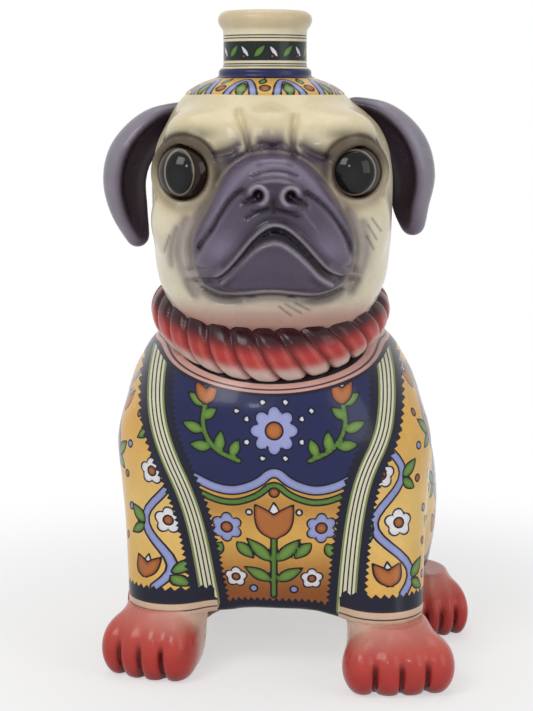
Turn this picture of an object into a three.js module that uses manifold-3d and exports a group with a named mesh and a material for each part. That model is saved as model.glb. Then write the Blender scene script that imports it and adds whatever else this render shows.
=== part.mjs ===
// A glazed ceramic bottle in the form of a sitting pug, closed by a straight cork.
// Millimetres, +Z up, the pug looks along -Y, and its own left side is +X.
// The castings are modelled apart, as they leave their moulds, and meet along luted seams.

import * as THREE from 'three';
import { mergeVertices } from 'three/addons/utils/BufferGeometryUtils.js';
import Module from 'manifold-3d';

const wasm = await Module();
wasm.setup();

// Driving dimensions: torso
const TORSO_HEIGHT = 142;
const TORSO_HALF_WIDTH = 65;
const CHEST_DEPTH = 61;
const RUMP_DEPTH = 70;
const WALL = 5;
const FOOT_EXTRA_WALL = 8;
const THROAT_EXTRA_WALL = 9;
const HIP_TURN = THREE.MathUtils.degToRad(12);
const HIP_SHIFT = 10;

// Driving dimensions: collar, which also sets the throat and its seam
const COLLAR_HALF_WIDTH = 39;
const COLLAR_HALF_DEPTH = 43;
const COLLAR_BACKSET = -7;
const COLLAR_ROPE_RADIUS = 10.5;
const COLLAR_SEAT = 2;
const COLLAR_TILT = THREE.MathUtils.degToRad(10);
const COLLAR_TWISTS = 24;
const COLLAR_STRANDS = 3;
const COLLAR_GROOVE = 1.6;

// Driving dimensions: head and face
const HEAD_HEIGHT = 94;
const HEAD_HALF_WIDTH = 50;
const FACE_DEPTH = 56;
const NAPE_DEPTH = 42;
const HEAD_SHIFT = 3.2;
const MUZZLE_HALF_WIDTH = 32;
const MUZZLE_HEIGHT = 56;
const MUZZLE_BASE_ABOVE_SEAM = 17;
const MUZZLE_REACH = 17;
const MOUTH_HALF_WIDTH = 25;
const MOUTH_RISE = 20;
const MOUTH_GROOVE_RADIUS = 1.6;
const NOSE_HALF_WIDTH = 11.5;
const NOSE_HEIGHT = 12;
const NOSTRIL_RADIUS = 2.6;
const EYE_RADIUS = 11.5;
const EYE_SPACING = 64.5;
const EYE_ABOVE_SEAM = 63;
const EYE_PROUD = 6.5;
const LID_THICKNESS = 2.4;
const EYE_SPLAY = THREE.MathUtils.degToRad(28);

// Driving dimensions: ears
const EAR_ROOT_ABOVE_SEAM = 83;
const EAR_DROP = 51;
const EAR_SPREAD = 60;
const EAR_HALF_WIDTH = 10.5;
const EAR_HALF_THICKNESS = 6.5;

// Driving dimensions: limbs and tail
const CUFF_HEIGHT = 24;
const CUFF_BACK = 10;
const LEG_SPREAD = 43.5;
const LEG_FORWARD = 38.5;
const LEG_RADIUS = 17.8;
const SHOULDER_HEIGHT = 90;
const SHOULDER_SPREAD = 40.5;
const SHOULDER_FORWARD = 17;
const SHOULDER_RADIUS = 23.2;
const PAW_SPREAD = 48.8;
const PAW_FORWARD = 46.3;
const PAW_HALF_WIDTH = 21.2;
const PAW_REACH = 22.3;
const PAW_WRIST_RADIUS = 16;
const PAW_SPLAY = THREE.MathUtils.degToRad(13);
const PAW_TOE_COUNT = 4;
const HIND_PAW_SPREAD = 56.5;
const HIND_PAW_BACK = 28;
const HIND_PAW_HALF_WIDTH = 13.8;
const HIND_PAW_REACH = 23;
const HIND_PAW_WRIST_RADIUS = 9.5;
const HIND_PAW_SPLAY = THREE.MathUtils.degToRad(20);
const HAUNCH_SPREAD = 43;
const HAUNCH_BACK = 26;
const HAUNCH_HALF_WIDTH = 24;
const HAUNCH_HALF_LENGTH = 35;
const HAUNCH_HEIGHT = 108;
const BELLY_ARCH_HALF_WIDTH = 25;
const BELLY_ARCH_HEIGHT = 27;
const BELLY_ARCH_DEPTH = 22;
const TAIL_RADIUS = 7;
const TAIL_CURL_RADIUS = 11;
const TAIL_HEIGHT = 52;

// Driving dimensions: neck and cork
const CAP_RADIUS = 33;
const CAP_HEIGHT = 11;
const NECK_RADIUS = 17.3;
const NECK_LENGTH = 15.5;
const LIP_OVERHANG = 2.3;
const LIP_HEIGHT = 7.5;
const BORE_RADIUS = 11;
const CORK_LENGTH = 24;
const CORK_BELOW_LIP = 1;
const CORK_CLEARANCE = 0.3;
const CORK_CHAMFER = 1;

// Seam gap between neighbouring castings, and how finely round forms are divided
const SEAM_GAP = 0.3;
const RING_POINTS = 30;
const CAVITY_POINTS = 14;
const LIMB_POINTS = 14;
const BALL_POINTS = 12;
const TORSO_LEVELS = 16;
const HEAD_LEVELS = 13;
const TOE_POINTS = 8;
const CAVITY_LEVELS = 7;
const GROOVE_STEPS = 28;
const GROOVE_POINTS = 8;
const ARCH_POINTS = 16;
const ARCH_SQUARENESS = 4;
const BODY_SQUARENESS = 2.3;
const HEAD_SQUARENESS = 2.7;
const NAPE_SQUARENESS = 2.05;
const BEYOND = 400;

// Places worked out from the driving dimensions
const CROWN_Z = TORSO_HEIGHT + HEAD_HEIGHT;
const NECK_FOOT_Z = CROWN_Z + CAP_HEIGHT;
const LIP_FOOT_Z = NECK_FOOT_Z + NECK_LENGTH;
const MOUTH_Z = LIP_FOOT_Z + LIP_HEIGHT;
const THROAT_HALF_WIDTH = COLLAR_HALF_WIDTH - COLLAR_ROPE_RADIUS + COLLAR_SEAT;
const THROAT_FRONT = COLLAR_HALF_DEPTH - COLLAR_BACKSET - COLLAR_ROPE_RADIUS + COLLAR_SEAT;
const THROAT_BACK = COLLAR_HALF_DEPTH + COLLAR_BACKSET - COLLAR_ROPE_RADIUS + COLLAR_SEAT;

// Profiles, each row: share of the height, then shares of half width, front depth and back depth
const TORSO_PROFILE = [
  [0.00, 0.76, 0.62, 0.88],
  [0.10, 0.82, 0.70, 0.97],
  [0.21, 0.86, 0.77, 1.00],
  [0.36, 0.92, 0.88, 0.99],
  [0.52, 0.97, 0.965, 0.93],
  [0.64, 1.00, 1.00, 0.86],
  [0.76, 0.965, 0.98, 0.78],
  [0.86, 0.88, 0.93, 0.69],
  [0.94, 0.735, 0.83, 0.60],
];
const HEAD_PROFILE = [
  [0.07, 0.80, 0.90, 0.84],
  [0.18, 0.92, 0.99, 0.92],
  [0.34, 0.98, 1.02, 0.97],
  [0.52, 1.00, 1.00, 1.00],
  [0.68, 0.985, 0.97, 1.00],
  [0.82, 0.915, 0.90, 0.95],
  [0.92, 0.80, 0.78, 0.86],
];
const MUZZLE_PROFILE = [
  [0.00, 0.55, 0.40],
  [0.08, 0.84, 0.70],
  [0.22, 1.00, 0.92],
  [0.42, 0.98, 1.00],
  [0.60, 0.85, 1.00],
  [0.78, 0.66, 0.88],
  [0.92, 0.44, 0.62],
  [1.00, 0.22, 0.36],
];
const EAR_PROFILE = [
  [0.00, 0.62, 1.10],
  [0.25, 0.74, 1.00],
  [0.55, 0.98, 0.92],
  [0.80, 0.80, 0.80],
  [1.00, 0.42, 0.50],
];

/** Smooth reading of a profile: each call gives the row's values at a share of the height. */
function profileReader(rows) {
  const width = rows[0].length - 1;
  const places = rows.map((row) => row[0]);
  const values = rows.flatMap((row) => row.slice(1));
  const curve = new THREE.CubicInterpolant(places, values, width);
  return (share) => Array.from(curve.evaluate(share));
}

/** Raises a number to a power and keeps its sign. */
function signedPower(value, power) {
  return Math.sign(value) * Math.abs(value) ** power;
}

/** One closed outline, anticlockwise from above, with its own depth and squareness in front and behind. */
function section(halfWidth, front, back, points, frontSquare = BODY_SQUARENESS, backSquare = frontSquare) {
  const ring = [];
  for (let i = 0; i < points; i += 1) {
    const angle = (i / points) * Math.PI * 2;
    const inFront = Math.sin(angle) < 0;
    const power = 2 / (inFront ? frontSquare : backSquare);
    const depth = inFront ? front : back;
    const x = halfWidth * signedPower(Math.cos(angle), power);
    ring.push(new THREE.Vector2(x, depth * signedPower(Math.sin(angle), power)));
  }
  return ring;
}

/** A closed surface through rings of points, from the lowest ring to the highest. */
function loft(rings) {
  const count = rings[0].length;
  const positions = rings.flat().flatMap((point) => point.toArray());
  const index = [];
  for (let i = 0; i + 1 < rings.length; i += 1) {
    for (let j = 0; j < count; j += 1) {
      const next = (j + 1) % count;
      const low = i * count;
      const high = low + count;
      index.push(low + j, low + next, high + next, low + j, high + next, high + j);
    }
  }
  const addCap = (ring, start, facesUp) => {
    const middle = ring.reduce((sum, point) => sum.add(point), new THREE.Vector3()).divideScalar(count);
    const hub = positions.length / 3;
    positions.push(...middle.toArray());
    for (let j = 0; j < count; j += 1) {
      const next = (j + 1) % count;
      const edge = facesUp ? [start + j, start + next] : [start + next, start + j];
      index.push(hub, ...edge);
    }
  };
  addCap(rings[0], 0, false);
  addCap(rings.at(-1), (rings.length - 1) * count, true);
  const geometry = new THREE.BufferGeometry();
  geometry.setAttribute('position', new THREE.Float32BufferAttribute(positions, 3));
  geometry.setIndex(index);
  return geometry;
}

/** Rings with the end ones repeated further out, so that a hollow runs clear through its openings. */
function runThrough(rings, below, above) {
  const moved = (ring, lift) => ring.map((point) => point.clone().add(new THREE.Vector3(0, 0, lift)));
  const low = below > 0 ? [moved(rings[0], -below)] : [];
  const high = above > 0 ? [moved(rings.at(-1), above)] : [];
  return [...low, ...rings, ...high];
}

/** A closed body ready to be joined or cut. */
function solid(geometry) {
  const plain = geometry.clone();
  plain.deleteAttribute('normal');
  plain.deleteAttribute('uv');
  const merged = mergeVertices(plain, 1e-4);
  const vertProperties = new Float32Array(merged.attributes.position.array);
  const triVerts = new Uint32Array(merged.index.array);
  return new wasm.Manifold(new wasm.Mesh({ numProp: 3, vertProperties, triVerts }));
}

/** The geometry of a finished body. */
function geometryOf(body) {
  const mesh = body.getMesh();
  const geometry = new THREE.BufferGeometry();
  geometry.setAttribute('position', new THREE.Float32BufferAttribute(mesh.vertProperties, 3));
  geometry.setIndex(Array.from(mesh.triVerts));
  return geometry;
}

/** The main casting, without the crumbs that a cut leaves where it runs out at an edge. */
function largest(body) {
  return body.decompose().sort((a, b) => b.volume() - a.volume())[0];
}

/** An egg with three half sizes, turned about Z and moved to its place. */
function egg(halfSizes, place, turn = 0, points = BALL_POINTS) {
  const geometry = new THREE.SphereGeometry(1, points, Math.round(points * 0.6));
  geometry.rotateX(Math.PI / 2);
  geometry.scale(...halfSizes);
  geometry.rotateZ(turn);
  geometry.translate(...place);
  return solid(geometry);
}

/** A block between two heights, wide enough to cut the whole object. */
function slab(low, high) {
  const geometry = new THREE.BoxGeometry(BEYOND, BEYOND, high - low);
  geometry.translate(0, 0, (low + high) / 2);
  return solid(geometry);
}

/** How far the hips are turned and moved aside at a height: all at the floor, none at the throat. */
function hipsAt(z) {
  const share = (1 - Math.min(z / TORSO_HEIGHT, 1)) ** 2;
  return { turn: -HIP_TURN * share, shift: HEAD_SHIFT + HIP_SHIFT * share };
}

/** Moves a point of the straight torso to its place on the turned one. */
function onTorso(x, y, z) {
  const { turn, shift } = hipsAt(z);
  const point = new THREE.Vector3(x, y, z).applyAxisAngle(new THREE.Vector3(0, 0, 1), turn);
  point.x += shift;
  return point;
}

/** How much of the collar's tilt a height of the torso or head has taken up. */
function tiltShare(share) {
  return THREE.MathUtils.smoothstep(share, 0.55, 1);
}

/** How thick the wall is at a share of the torso's height: stouter at the foot and at the throat seam. */
function torsoWall(share) {
  const foot = FOOT_EXTRA_WALL * (1 - THREE.MathUtils.smoothstep(share, 0, 0.4));
  return WALL + foot + THROAT_EXTRA_WALL * THREE.MathUtils.smoothstep(share, 0.7, 0.9);
}

/** Rings of the torso without its limbs, each level drawn in by the inset for its share of the height. */
function torsoCore(insetAt, points, levels, lowest = 0) {
  const read = profileReader([
    ...TORSO_PROFILE,
    [1, THROAT_HALF_WIDTH / TORSO_HALF_WIDTH, THROAT_FRONT / CHEST_DEPTH, THROAT_BACK / RUMP_DEPTH],
  ]);
  const rings = [];
  for (let i = 0; i <= levels; i += 1) {
    const share = lowest + (1 - lowest) * (i / levels);
    const inset = insetAt(share);
    const [width, front, back] = read(share);
    const outline = section(
      TORSO_HALF_WIDTH * width - inset,
      CHEST_DEPTH * front - inset,
      RUMP_DEPTH * back - inset,
      points,
    );
    rings.push(outline.map((point) => {
      const placed = onTorso(point.x, point.y, share * TORSO_HEIGHT);
      placed.z += (point.y - COLLAR_BACKSET) * Math.tan(COLLAR_TILT) * tiltShare(share);
      return placed;
    }));
  }
  return rings;
}

/** A foreleg sleeve from the cuff up to a rounded shoulder; side is +1 for the pug's left. */
function foreleg(side) {
  const levels = 5;
  const domeLevels = 4;
  const foot = CUFF_HEIGHT - WALL;
  const rings = [];
  const addRing = (share, z, radius) => {
    const spread = THREE.MathUtils.lerp(LEG_SPREAD, SHOULDER_SPREAD, share);
    const forward = THREE.MathUtils.lerp(LEG_FORWARD, SHOULDER_FORWARD, share);
    const outline = section(radius, radius, radius, LIMB_POINTS, 2);
    rings.push(outline.map((point) => onTorso(side * spread + point.x, point.y - forward, z)));
  };
  for (let i = 0; i <= levels; i += 1) {
    const share = i / levels;
    const radius = THREE.MathUtils.lerp(LEG_RADIUS, SHOULDER_RADIUS, share);
    addRing(share, THREE.MathUtils.lerp(foot, SHOULDER_HEIGHT, share), radius);
  }
  for (let i = 1; i < domeLevels; i += 1) {
    const angle = (i / domeLevels) * (Math.PI / 2);
    addRing(1, SHOULDER_HEIGHT + SHOULDER_RADIUS * Math.sin(angle), SHOULDER_RADIUS * Math.cos(angle));
  }
  return solid(loft(rings));
}

/** A rounded thigh beside the rump, ending over the hind paw. */
function haunch(side) {
  const middle = onTorso(side * HAUNCH_SPREAD, HAUNCH_BACK, HAUNCH_HEIGHT / 2);
  const sizes = [HAUNCH_HALF_WIDTH, HAUNCH_HALF_LENGTH, HAUNCH_HEIGHT / 2];
  return egg(sizes, middle.toArray(), hipsAt(middle.z).turn).subtract(slab(-BEYOND, CUFF_HEIGHT));
}

/** The arched space under the belly, open to the front; growth keeps a wall over it. */
function bellyArch(growth) {
  const rise = BELLY_ARCH_HEIGHT + growth;
  const outline = section(BELLY_ARCH_HALF_WIDTH + growth, rise, rise, ARCH_POINTS, ARCH_SQUARENESS);
  const length = CHEST_DEPTH * 2 + BELLY_ARCH_DEPTH + growth;
  const settings = { depth: length, bevelEnabled: false };
  const geometry = new THREE.ExtrudeGeometry(new THREE.Shape(outline), settings);
  geometry.rotateX(Math.PI / 2);
  geometry.translate(0, BELLY_ARCH_DEPTH + growth, 0);
  geometry.rotateZ(hipsAt(0).turn);
  geometry.translate(hipsAt(0).shift, 0, 0);
  return solid(geometry);
}

/** The space below the cuffs, ahead of the haunches, where the front paws stand. */
function cuffSpace(growth) {
  const geometry = new THREE.BoxGeometry(BEYOND, BEYOND, BEYOND);
  geometry.translate(0, CUFF_BACK + growth - BEYOND / 2, CUFF_HEIGHT + growth - BEYOND / 2);
  geometry.rotateZ(hipsAt(0).turn);
  geometry.translate(hipsAt(0).shift, 0, 0);
  return solid(geometry);
}

/** A paw on the floor: a rounded palm, a wrist up to its sleeve and a fan of toes. */
function paw({ place, wrist, turn, halfWidth, reach, wristRadius, growth }) {
  const height = CUFF_HEIGHT - SEAM_GAP;
  const top = height + growth;
  const palmSizes = [halfWidth * 0.84 + growth, reach * 0.84 + growth, height * 0.62 + growth];
  let body = egg(palmSizes, [place.x, place.y, height * 0.42], turn);
  const wristLevels = 2;
  const wristRings = [];
  for (let i = 0; i <= wristLevels; i += 1) {
    const share = i / wristLevels;
    const radius = wristRadius + growth;
    const middle = place.clone().lerp(wrist, share).setZ(THREE.MathUtils.lerp(height * 0.3, top, share));
    const outline = section(radius, radius, radius, LIMB_POINTS, 2);
    wristRings.push(outline.map((point) => new THREE.Vector3(point.x, point.y, 0).add(middle)));
  }
  body = body.add(solid(loft(wristRings)));
  const pitch = (2 * halfWidth) / PAW_TOE_COUNT;
  for (let i = 0; i < PAW_TOE_COUNT; i += 1) {
    const aside = (i - (PAW_TOE_COUNT - 1) / 2) * pitch;
    const across = aside / halfWidth;
    const ahead = -reach * (0.52 - 0.16 * across ** 2);
    const toe = new THREE.Vector3(aside, ahead, height * 0.4);
    toe.applyAxisAngle(new THREE.Vector3(0, 0, 1), turn);
    const sizes = [pitch * 0.56 + growth, reach * 0.52 + growth, height * 0.46 + growth];
    body = body.add(egg(sizes, [place.x + toe.x, place.y + toe.y, toe.z], turn + across * 0.17, TOE_POINTS));
  }
  return body.subtract(slab(-BEYOND, 0)).subtract(slab(top, BEYOND));
}

/** A front paw, which stands under its cuff. */
function frontPaw(side, growth) {
  return paw({
    place: onTorso(side * PAW_SPREAD, -PAW_FORWARD, 0),
    wrist: onTorso(side * LEG_SPREAD, -LEG_FORWARD, CUFF_HEIGHT),
    turn: hipsAt(0).turn + side * PAW_SPLAY,
    halfWidth: PAW_HALF_WIDTH,
    reach: PAW_REACH,
    wristRadius: PAW_WRIST_RADIUS,
    growth,
  });
}

/** A hind paw, which comes out from under its haunch. */
function hindPaw(side, growth) {
  const wristBack = HIND_PAW_BACK + HIND_PAW_REACH * 0.35;
  return paw({
    place: onTorso(side * HIND_PAW_SPREAD, HIND_PAW_BACK, 0),
    wrist: onTorso(side * (HIND_PAW_SPREAD - HIND_PAW_HALF_WIDTH * 0.2), wristBack, 0),
    turn: hipsAt(0).turn + side * HIND_PAW_SPLAY,
    halfWidth: HIND_PAW_HALF_WIDTH,
    reach: HIND_PAW_REACH,
    wristRadius: HIND_PAW_WRIST_RADIUS,
    growth,
  });
}

/** A point of the collar's centre line, which lies in the tilted seam of throat and head. */
function collarPoint(angle) {
  const y = COLLAR_BACKSET + COLLAR_HALF_DEPTH * Math.sin(angle);
  const z = TORSO_HEIGHT + (y - COLLAR_BACKSET) * Math.tan(COLLAR_TILT);
  return new THREE.Vector3(HEAD_SHIFT + COLLAR_HALF_WIDTH * Math.cos(angle), y, z);
}

/** The rope collar: strands wind round the section as it runs round the throat. */
function ropeCollar(radius, groove, ringSteps, sectionPoints) {
  const positions = [];
  const index = [];
  for (let i = 0; i < ringSteps; i += 1) {
    const along = (i / ringSteps) * Math.PI * 2;
    const middle = collarPoint(along);
    const ahead = collarPoint(along + 0.01).sub(middle).normalize();
    const up = new THREE.Vector3(0, 0, 1);
    const outward = ahead.clone().cross(up).normalize();
    const upright = outward.clone().cross(ahead).normalize();
    for (let j = 0; j < sectionPoints; j += 1) {
      const around = (j / sectionPoints) * Math.PI * 2;
      const phase = (COLLAR_TWISTS * along + COLLAR_STRANDS * around) / 2;
      const reach = radius - groove * (1 - Math.abs(Math.sin(phase)) ** 0.7);
      const point = middle.clone()
        .addScaledVector(outward, reach * Math.cos(around))
        .addScaledVector(upright, reach * Math.sin(around));
      positions.push(...point.toArray());
      const nextRing = (i + 1) % ringSteps;
      const nextPoint = (j + 1) % sectionPoints;
      const a = i * sectionPoints + j;
      const b = nextRing * sectionPoints + j;
      const c = nextRing * sectionPoints + nextPoint;
      const d = i * sectionPoints + nextPoint;
      index.push(a, b, c, a, c, d);
    }
  }
  const geometry = new THREE.BufferGeometry();
  geometry.setAttribute('position', new THREE.Float32BufferAttribute(positions, 3));
  geometry.setIndex(index);
  return geometry;
}

/** How thick the wall is at a share of the head's height: stouter at the throat seam. */
function headWall(share) {
  return WALL + THROAT_EXTRA_WALL * (1 - THREE.MathUtils.smoothstep(share, 0.12, 0.32));
}

/** Rings of the skull from the throat seam to the seat of the neck, each level drawn in by its inset. */
function skull(insetAt, points, levels) {
  const rows = [
    [0, THROAT_HALF_WIDTH / HEAD_HALF_WIDTH, THROAT_FRONT / FACE_DEPTH, THROAT_BACK / NAPE_DEPTH],
    ...HEAD_PROFILE,
    [1, CAP_RADIUS / HEAD_HALF_WIDTH, CAP_RADIUS / FACE_DEPTH, CAP_RADIUS / NAPE_DEPTH],
  ];
  const read = profileReader(rows);
  const rings = [];
  for (let i = 0; i <= levels; i += 1) {
    const share = i / levels;
    const inset = insetAt(share);
    const [width, front, back] = read(share);
    const roundness = THREE.MathUtils.lerp(HEAD_SQUARENESS, 2, THREE.MathUtils.smoothstep(share, 0.75, 1));
    const outline = section(
      HEAD_HALF_WIDTH * width - inset,
      FACE_DEPTH * front - inset,
      NAPE_DEPTH * back - inset,
      points,
      roundness,
      NAPE_SQUARENESS,
    );
    const lift = TORSO_HEIGHT + SEAM_GAP + share * (HEAD_HEIGHT - SEAM_GAP);
    const aside = HEAD_SHIFT * (1 - THREE.MathUtils.smoothstep(share, 0.85, 1));
    rings.push(outline.map((point) => {
      const tilt = (point.y - COLLAR_BACKSET) * Math.tan(COLLAR_TILT) * tiltShare(1 - share);
      return new THREE.Vector3(point.x + aside, point.y, lift + tilt);
    }));
  }
  return rings;
}

/** Where an eyeball's middle lies and which way it looks. */
function eyeFrame(side) {
  const look = new THREE.Vector3(side * Math.sin(EYE_SPLAY), -Math.cos(EYE_SPLAY), 0);
  const surface = -FACE_DEPTH * 0.82;
  const middle = new THREE.Vector3(
    HEAD_SHIFT + (side * EYE_SPACING) / 2,
    surface - EYE_PROUD + EYE_RADIUS,
    TORSO_HEIGHT + EYE_ABOVE_SEAM,
  );
  return { look, middle };
}

/** An eyeball, or the socket that holds it when it is grown by the seam gap. */
function eyeball(side, growth) {
  const { middle } = eyeFrame(side);
  const radius = EYE_RADIUS + growth;
  return egg([radius, radius, radius], middle.toArray());
}

/** The thick lid round an eye: a short post out of the skull, square to the way that the eye looks. */
function eyelid(side, growth) {
  const { look, middle } = eyeFrame(side);
  const radius = EYE_RADIUS + LID_THICKNESS + growth;
  const length = EYE_RADIUS * 1.2 + growth;
  const geometry = new THREE.CylinderGeometry(radius - LID_THICKNESS * 0.5, radius, length, RING_POINTS / 2);
  const facing = new THREE.Quaternion().setFromUnitVectors(new THREE.Vector3(0, 1, 0), look);
  geometry.applyQuaternion(facing);
  const place = middle.clone().addScaledVector(look, EYE_RADIUS * 0.4 + growth - length / 2);
  geometry.translate(...place.toArray());
  return solid(geometry);
}

/** The muzzle as a closed loft, broad at the jowls and narrow at the nose roll. */
function muzzleBlock() {
  const read = profileReader(MUZZLE_PROFILE);
  const levels = 14;
  const rings = [];
  for (let i = 0; i <= levels; i += 1) {
    const share = i / levels;
    const [width, reach] = read(share);
    const outline = section(MUZZLE_HALF_WIDTH * width, MUZZLE_REACH * reach + FACE_DEPTH * 0.45,
      FACE_DEPTH * 0.1, 28, 2.6);
    const z = TORSO_HEIGHT + MUZZLE_BASE_ABOVE_SEAM + share * MUZZLE_HEIGHT;
    const back = -FACE_DEPTH * 0.55;
    rings.push(outline.map((point) => new THREE.Vector3(HEAD_SHIFT + point.x, point.y + back, z)));
  }
  return solid(loft(rings));
}

/** The down-turned mouth: a round groove along an arch between the jowls. */
function mouthGroove() {
  const front = -(FACE_DEPTH + MUZZLE_REACH);
  const corner = TORSO_HEIGHT + MUZZLE_BASE_ABOVE_SEAM + MUZZLE_HEIGHT * 0.07;
  const path = new THREE.CatmullRomCurve3([
    new THREE.Vector3(-MOUTH_HALF_WIDTH * 1.15, front + 11, corner - 1),
    new THREE.Vector3(-MOUTH_HALF_WIDTH * 0.8, front + 3.5, corner + MOUTH_RISE * 0.22),
    new THREE.Vector3(-MOUTH_HALF_WIDTH * 0.4, front + 0.6, corner + MOUTH_RISE * 0.78),
    new THREE.Vector3(0, front, corner + MOUTH_RISE),
    new THREE.Vector3(MOUTH_HALF_WIDTH * 0.4, front + 0.6, corner + MOUTH_RISE * 0.78),
    new THREE.Vector3(MOUTH_HALF_WIDTH * 0.8, front + 3.5, corner + MOUTH_RISE * 0.22),
    new THREE.Vector3(MOUTH_HALF_WIDTH * 1.15, front + 11, corner - 1),
  ]);
  const round = new THREE.Shape();
  round.absarc(0, 0, MOUTH_GROOVE_RADIUS, 0, Math.PI * 2);
  const settings = { extrudePath: path, steps: 20, curveSegments: 3, bevelEnabled: false };
  const geometry = new THREE.ExtrudeGeometry(round, settings);
  geometry.translate(HEAD_SHIFT, 0, 0);
  return solid(geometry);
}

/** The muzzle with nose, nostrils and mouth, fitted against the face. */
function muzzle(face) {
  const noseZ = TORSO_HEIGHT + MUZZLE_BASE_ABOVE_SEAM + MUZZLE_HEIGHT * 0.68;
  const noseFront = -(FACE_DEPTH + MUZZLE_REACH * 0.93);
  let body = muzzleBlock();
  const noseSizes = [NOSE_HALF_WIDTH, NOSE_HEIGHT * 0.5, NOSE_HEIGHT * 0.55];
  body = body.add(egg(noseSizes, [HEAD_SHIFT, noseFront + 3, noseZ]));
  for (const side of [-1, 1]) {
    const nostril = egg(
      [NOSTRIL_RADIUS, NOSTRIL_RADIUS * 1.5, NOSTRIL_RADIUS * 1.2],
      [HEAD_SHIFT + side * NOSE_HALF_WIDTH * 0.5, noseFront - 2.6, noseZ - 0.5],
      side * 0.5,
      12,
    );
    body = body.subtract(nostril);
  }
  return body.subtract(mouthGroove()).subtract(face);
}

/** A hanging ear: an oval section swept from its root out and down to a blunt tip. */
function ear(side) {
  const rootZ = TORSO_HEIGHT + EAR_ROOT_ABOVE_SEAM;
  const rootX = HEAD_HALF_WIDTH * 0.66;
  const path = new THREE.CatmullRomCurve3([
    new THREE.Vector3(rootX, 2, rootZ - 1),
    new THREE.Vector3(rootX + (EAR_SPREAD - rootX) * 0.55, 0, rootZ - EAR_DROP * 0.07),
    new THREE.Vector3(EAR_SPREAD - 1.5, -2, rootZ - EAR_DROP * 0.3),
    new THREE.Vector3(EAR_SPREAD, -3, rootZ - EAR_DROP * 0.55),
    new THREE.Vector3(EAR_SPREAD - 3, -4, rootZ - EAR_DROP * 0.8),
    new THREE.Vector3(EAR_SPREAD - 4.5, -5, rootZ - EAR_DROP),
  ]);
  const read = profileReader(EAR_PROFILE);
  const levels = 12;
  const rings = [];
  for (let i = 0; i <= levels; i += 1) {
    const share = i / levels;
    const [width, thickness] = read(share);
    const middle = path.getPointAt(share);
    const ahead = path.getTangentAt(share);
    const aside = new THREE.Vector3(ahead.z, 0, -ahead.x).normalize();
    const outline = section(EAR_HALF_WIDTH * width, EAR_HALF_THICKNESS * thickness,
      EAR_HALF_THICKNESS * thickness, 16, 2.2);
    rings.push(outline.map((point) => middle.clone()
      .addScaledVector(aside, point.x)
      .add(new THREE.Vector3(0, point.y, 0))));
  }
  const geometry = loft(rings);
  geometry.scale(side, 1, 1);
  if (side < 0) {
    geometry.index.array.reverse();
  }
  geometry.translate(HEAD_SHIFT / 2, 0, 0);
  return solid(geometry);
}

/** The curled tail on the rump, a tapering tube wound once round. */
function tail() {
  const turns = 1.3;
  const levels = 20;
  const rings = [];
  const rump = RUMP_DEPTH + TAIL_RADIUS * 0.2;
  for (let i = 0; i <= levels; i += 1) {
    const share = i / levels;
    const angle = -Math.PI / 2 + share * turns * Math.PI * 2;
    const curl = TAIL_CURL_RADIUS * (1 - 0.5 * share);
    const across = new THREE.Vector3(Math.cos(angle), 0, Math.sin(angle));
    const radius = TAIL_RADIUS * (1 - 0.62 * share);
    const outline = section(radius, radius, radius, 10, 2);
    rings.push(outline.map((point) => onTorso(0, rump + share * TAIL_RADIUS * 0.9, TAIL_HEIGHT)
      .addScaledVector(across, curl + point.x)
      .add(new THREE.Vector3(0, point.y, 0))));
  }
  const geometry = loft(rings);
  return solid(geometry);
}

/** Half of the lip's bead as arc points, from the neck's side up to the mouth. */
function lipBead() {
  const points = [];
  const steps = 6;
  const innerEdge = BORE_RADIUS + (NECK_RADIUS - BORE_RADIUS) * 0.45;
  for (let i = 0; i <= steps; i += 1) {
    const angle = -Math.PI * 0.4 + (i / steps) * Math.PI * 0.9;
    const reach = NECK_RADIUS + LIP_OVERHANG - innerEdge;
    points.push(new THREE.Vector2(
      innerEdge + reach * Math.cos(angle) ** 0.5,
      LIP_FOOT_Z + LIP_HEIGHT * 0.5 + LIP_HEIGHT * 0.5 * Math.sin(angle),
    ));
  }
  return points;
}

/** The neck: flared shoulder cap, straight neck and rolled lip round a straight bore. */
function neck() {
  const foot = CROWN_Z + SEAM_GAP;
  const outer = new THREE.CatmullRomCurve3([
    new THREE.Vector3(CAP_RADIUS, foot, 0),
    new THREE.Vector3(CAP_RADIUS - (CAP_RADIUS - NECK_RADIUS) * 0.5, foot + CAP_HEIGHT * 0.55, 0),
    new THREE.Vector3(NECK_RADIUS + 1.6, foot + CAP_HEIGHT * 0.9, 0),
    new THREE.Vector3(NECK_RADIUS, foot + CAP_HEIGHT * 1.25, 0),
  ]).getPoints(5).map((point) => new THREE.Vector2(point.x, point.y));
  const profile = [
    ...outer,
    new THREE.Vector2(NECK_RADIUS, LIP_FOOT_Z - 0.5),
    ...lipBead(),
    new THREE.Vector2(BORE_RADIUS, MOUTH_Z - 0.8),
    new THREE.Vector2(BORE_RADIUS, NECK_FOOT_Z),
    new THREE.Vector2(BORE_RADIUS + WALL * 0.4, NECK_FOOT_Z - WALL * 0.7),
    new THREE.Vector2(CAP_RADIUS - WALL * 1.4, foot),
    outer[0].clone(),
  ];
  return new THREE.LatheGeometry(profile, RING_POINTS).rotateX(Math.PI / 2);
}

/** The straight cork, pressed in flush, with chamfered ends. */
function cork() {
  const radius = BORE_RADIUS - CORK_CLEARANCE;
  const top = MOUTH_Z - CORK_BELOW_LIP;
  const low = top - CORK_LENGTH;
  const profile = [
    new THREE.Vector2(0, low),
    new THREE.Vector2(radius - CORK_CHAMFER, low),
    new THREE.Vector2(radius, low + CORK_CHAMFER),
    new THREE.Vector2(radius, top - CORK_CHAMFER),
    new THREE.Vector2(radius - CORK_CHAMFER, top),
    new THREE.Vector2(0, top),
  ];
  return new THREE.LatheGeometry(profile, LIMB_POINTS).rotateX(Math.PI / 2);
}

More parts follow.
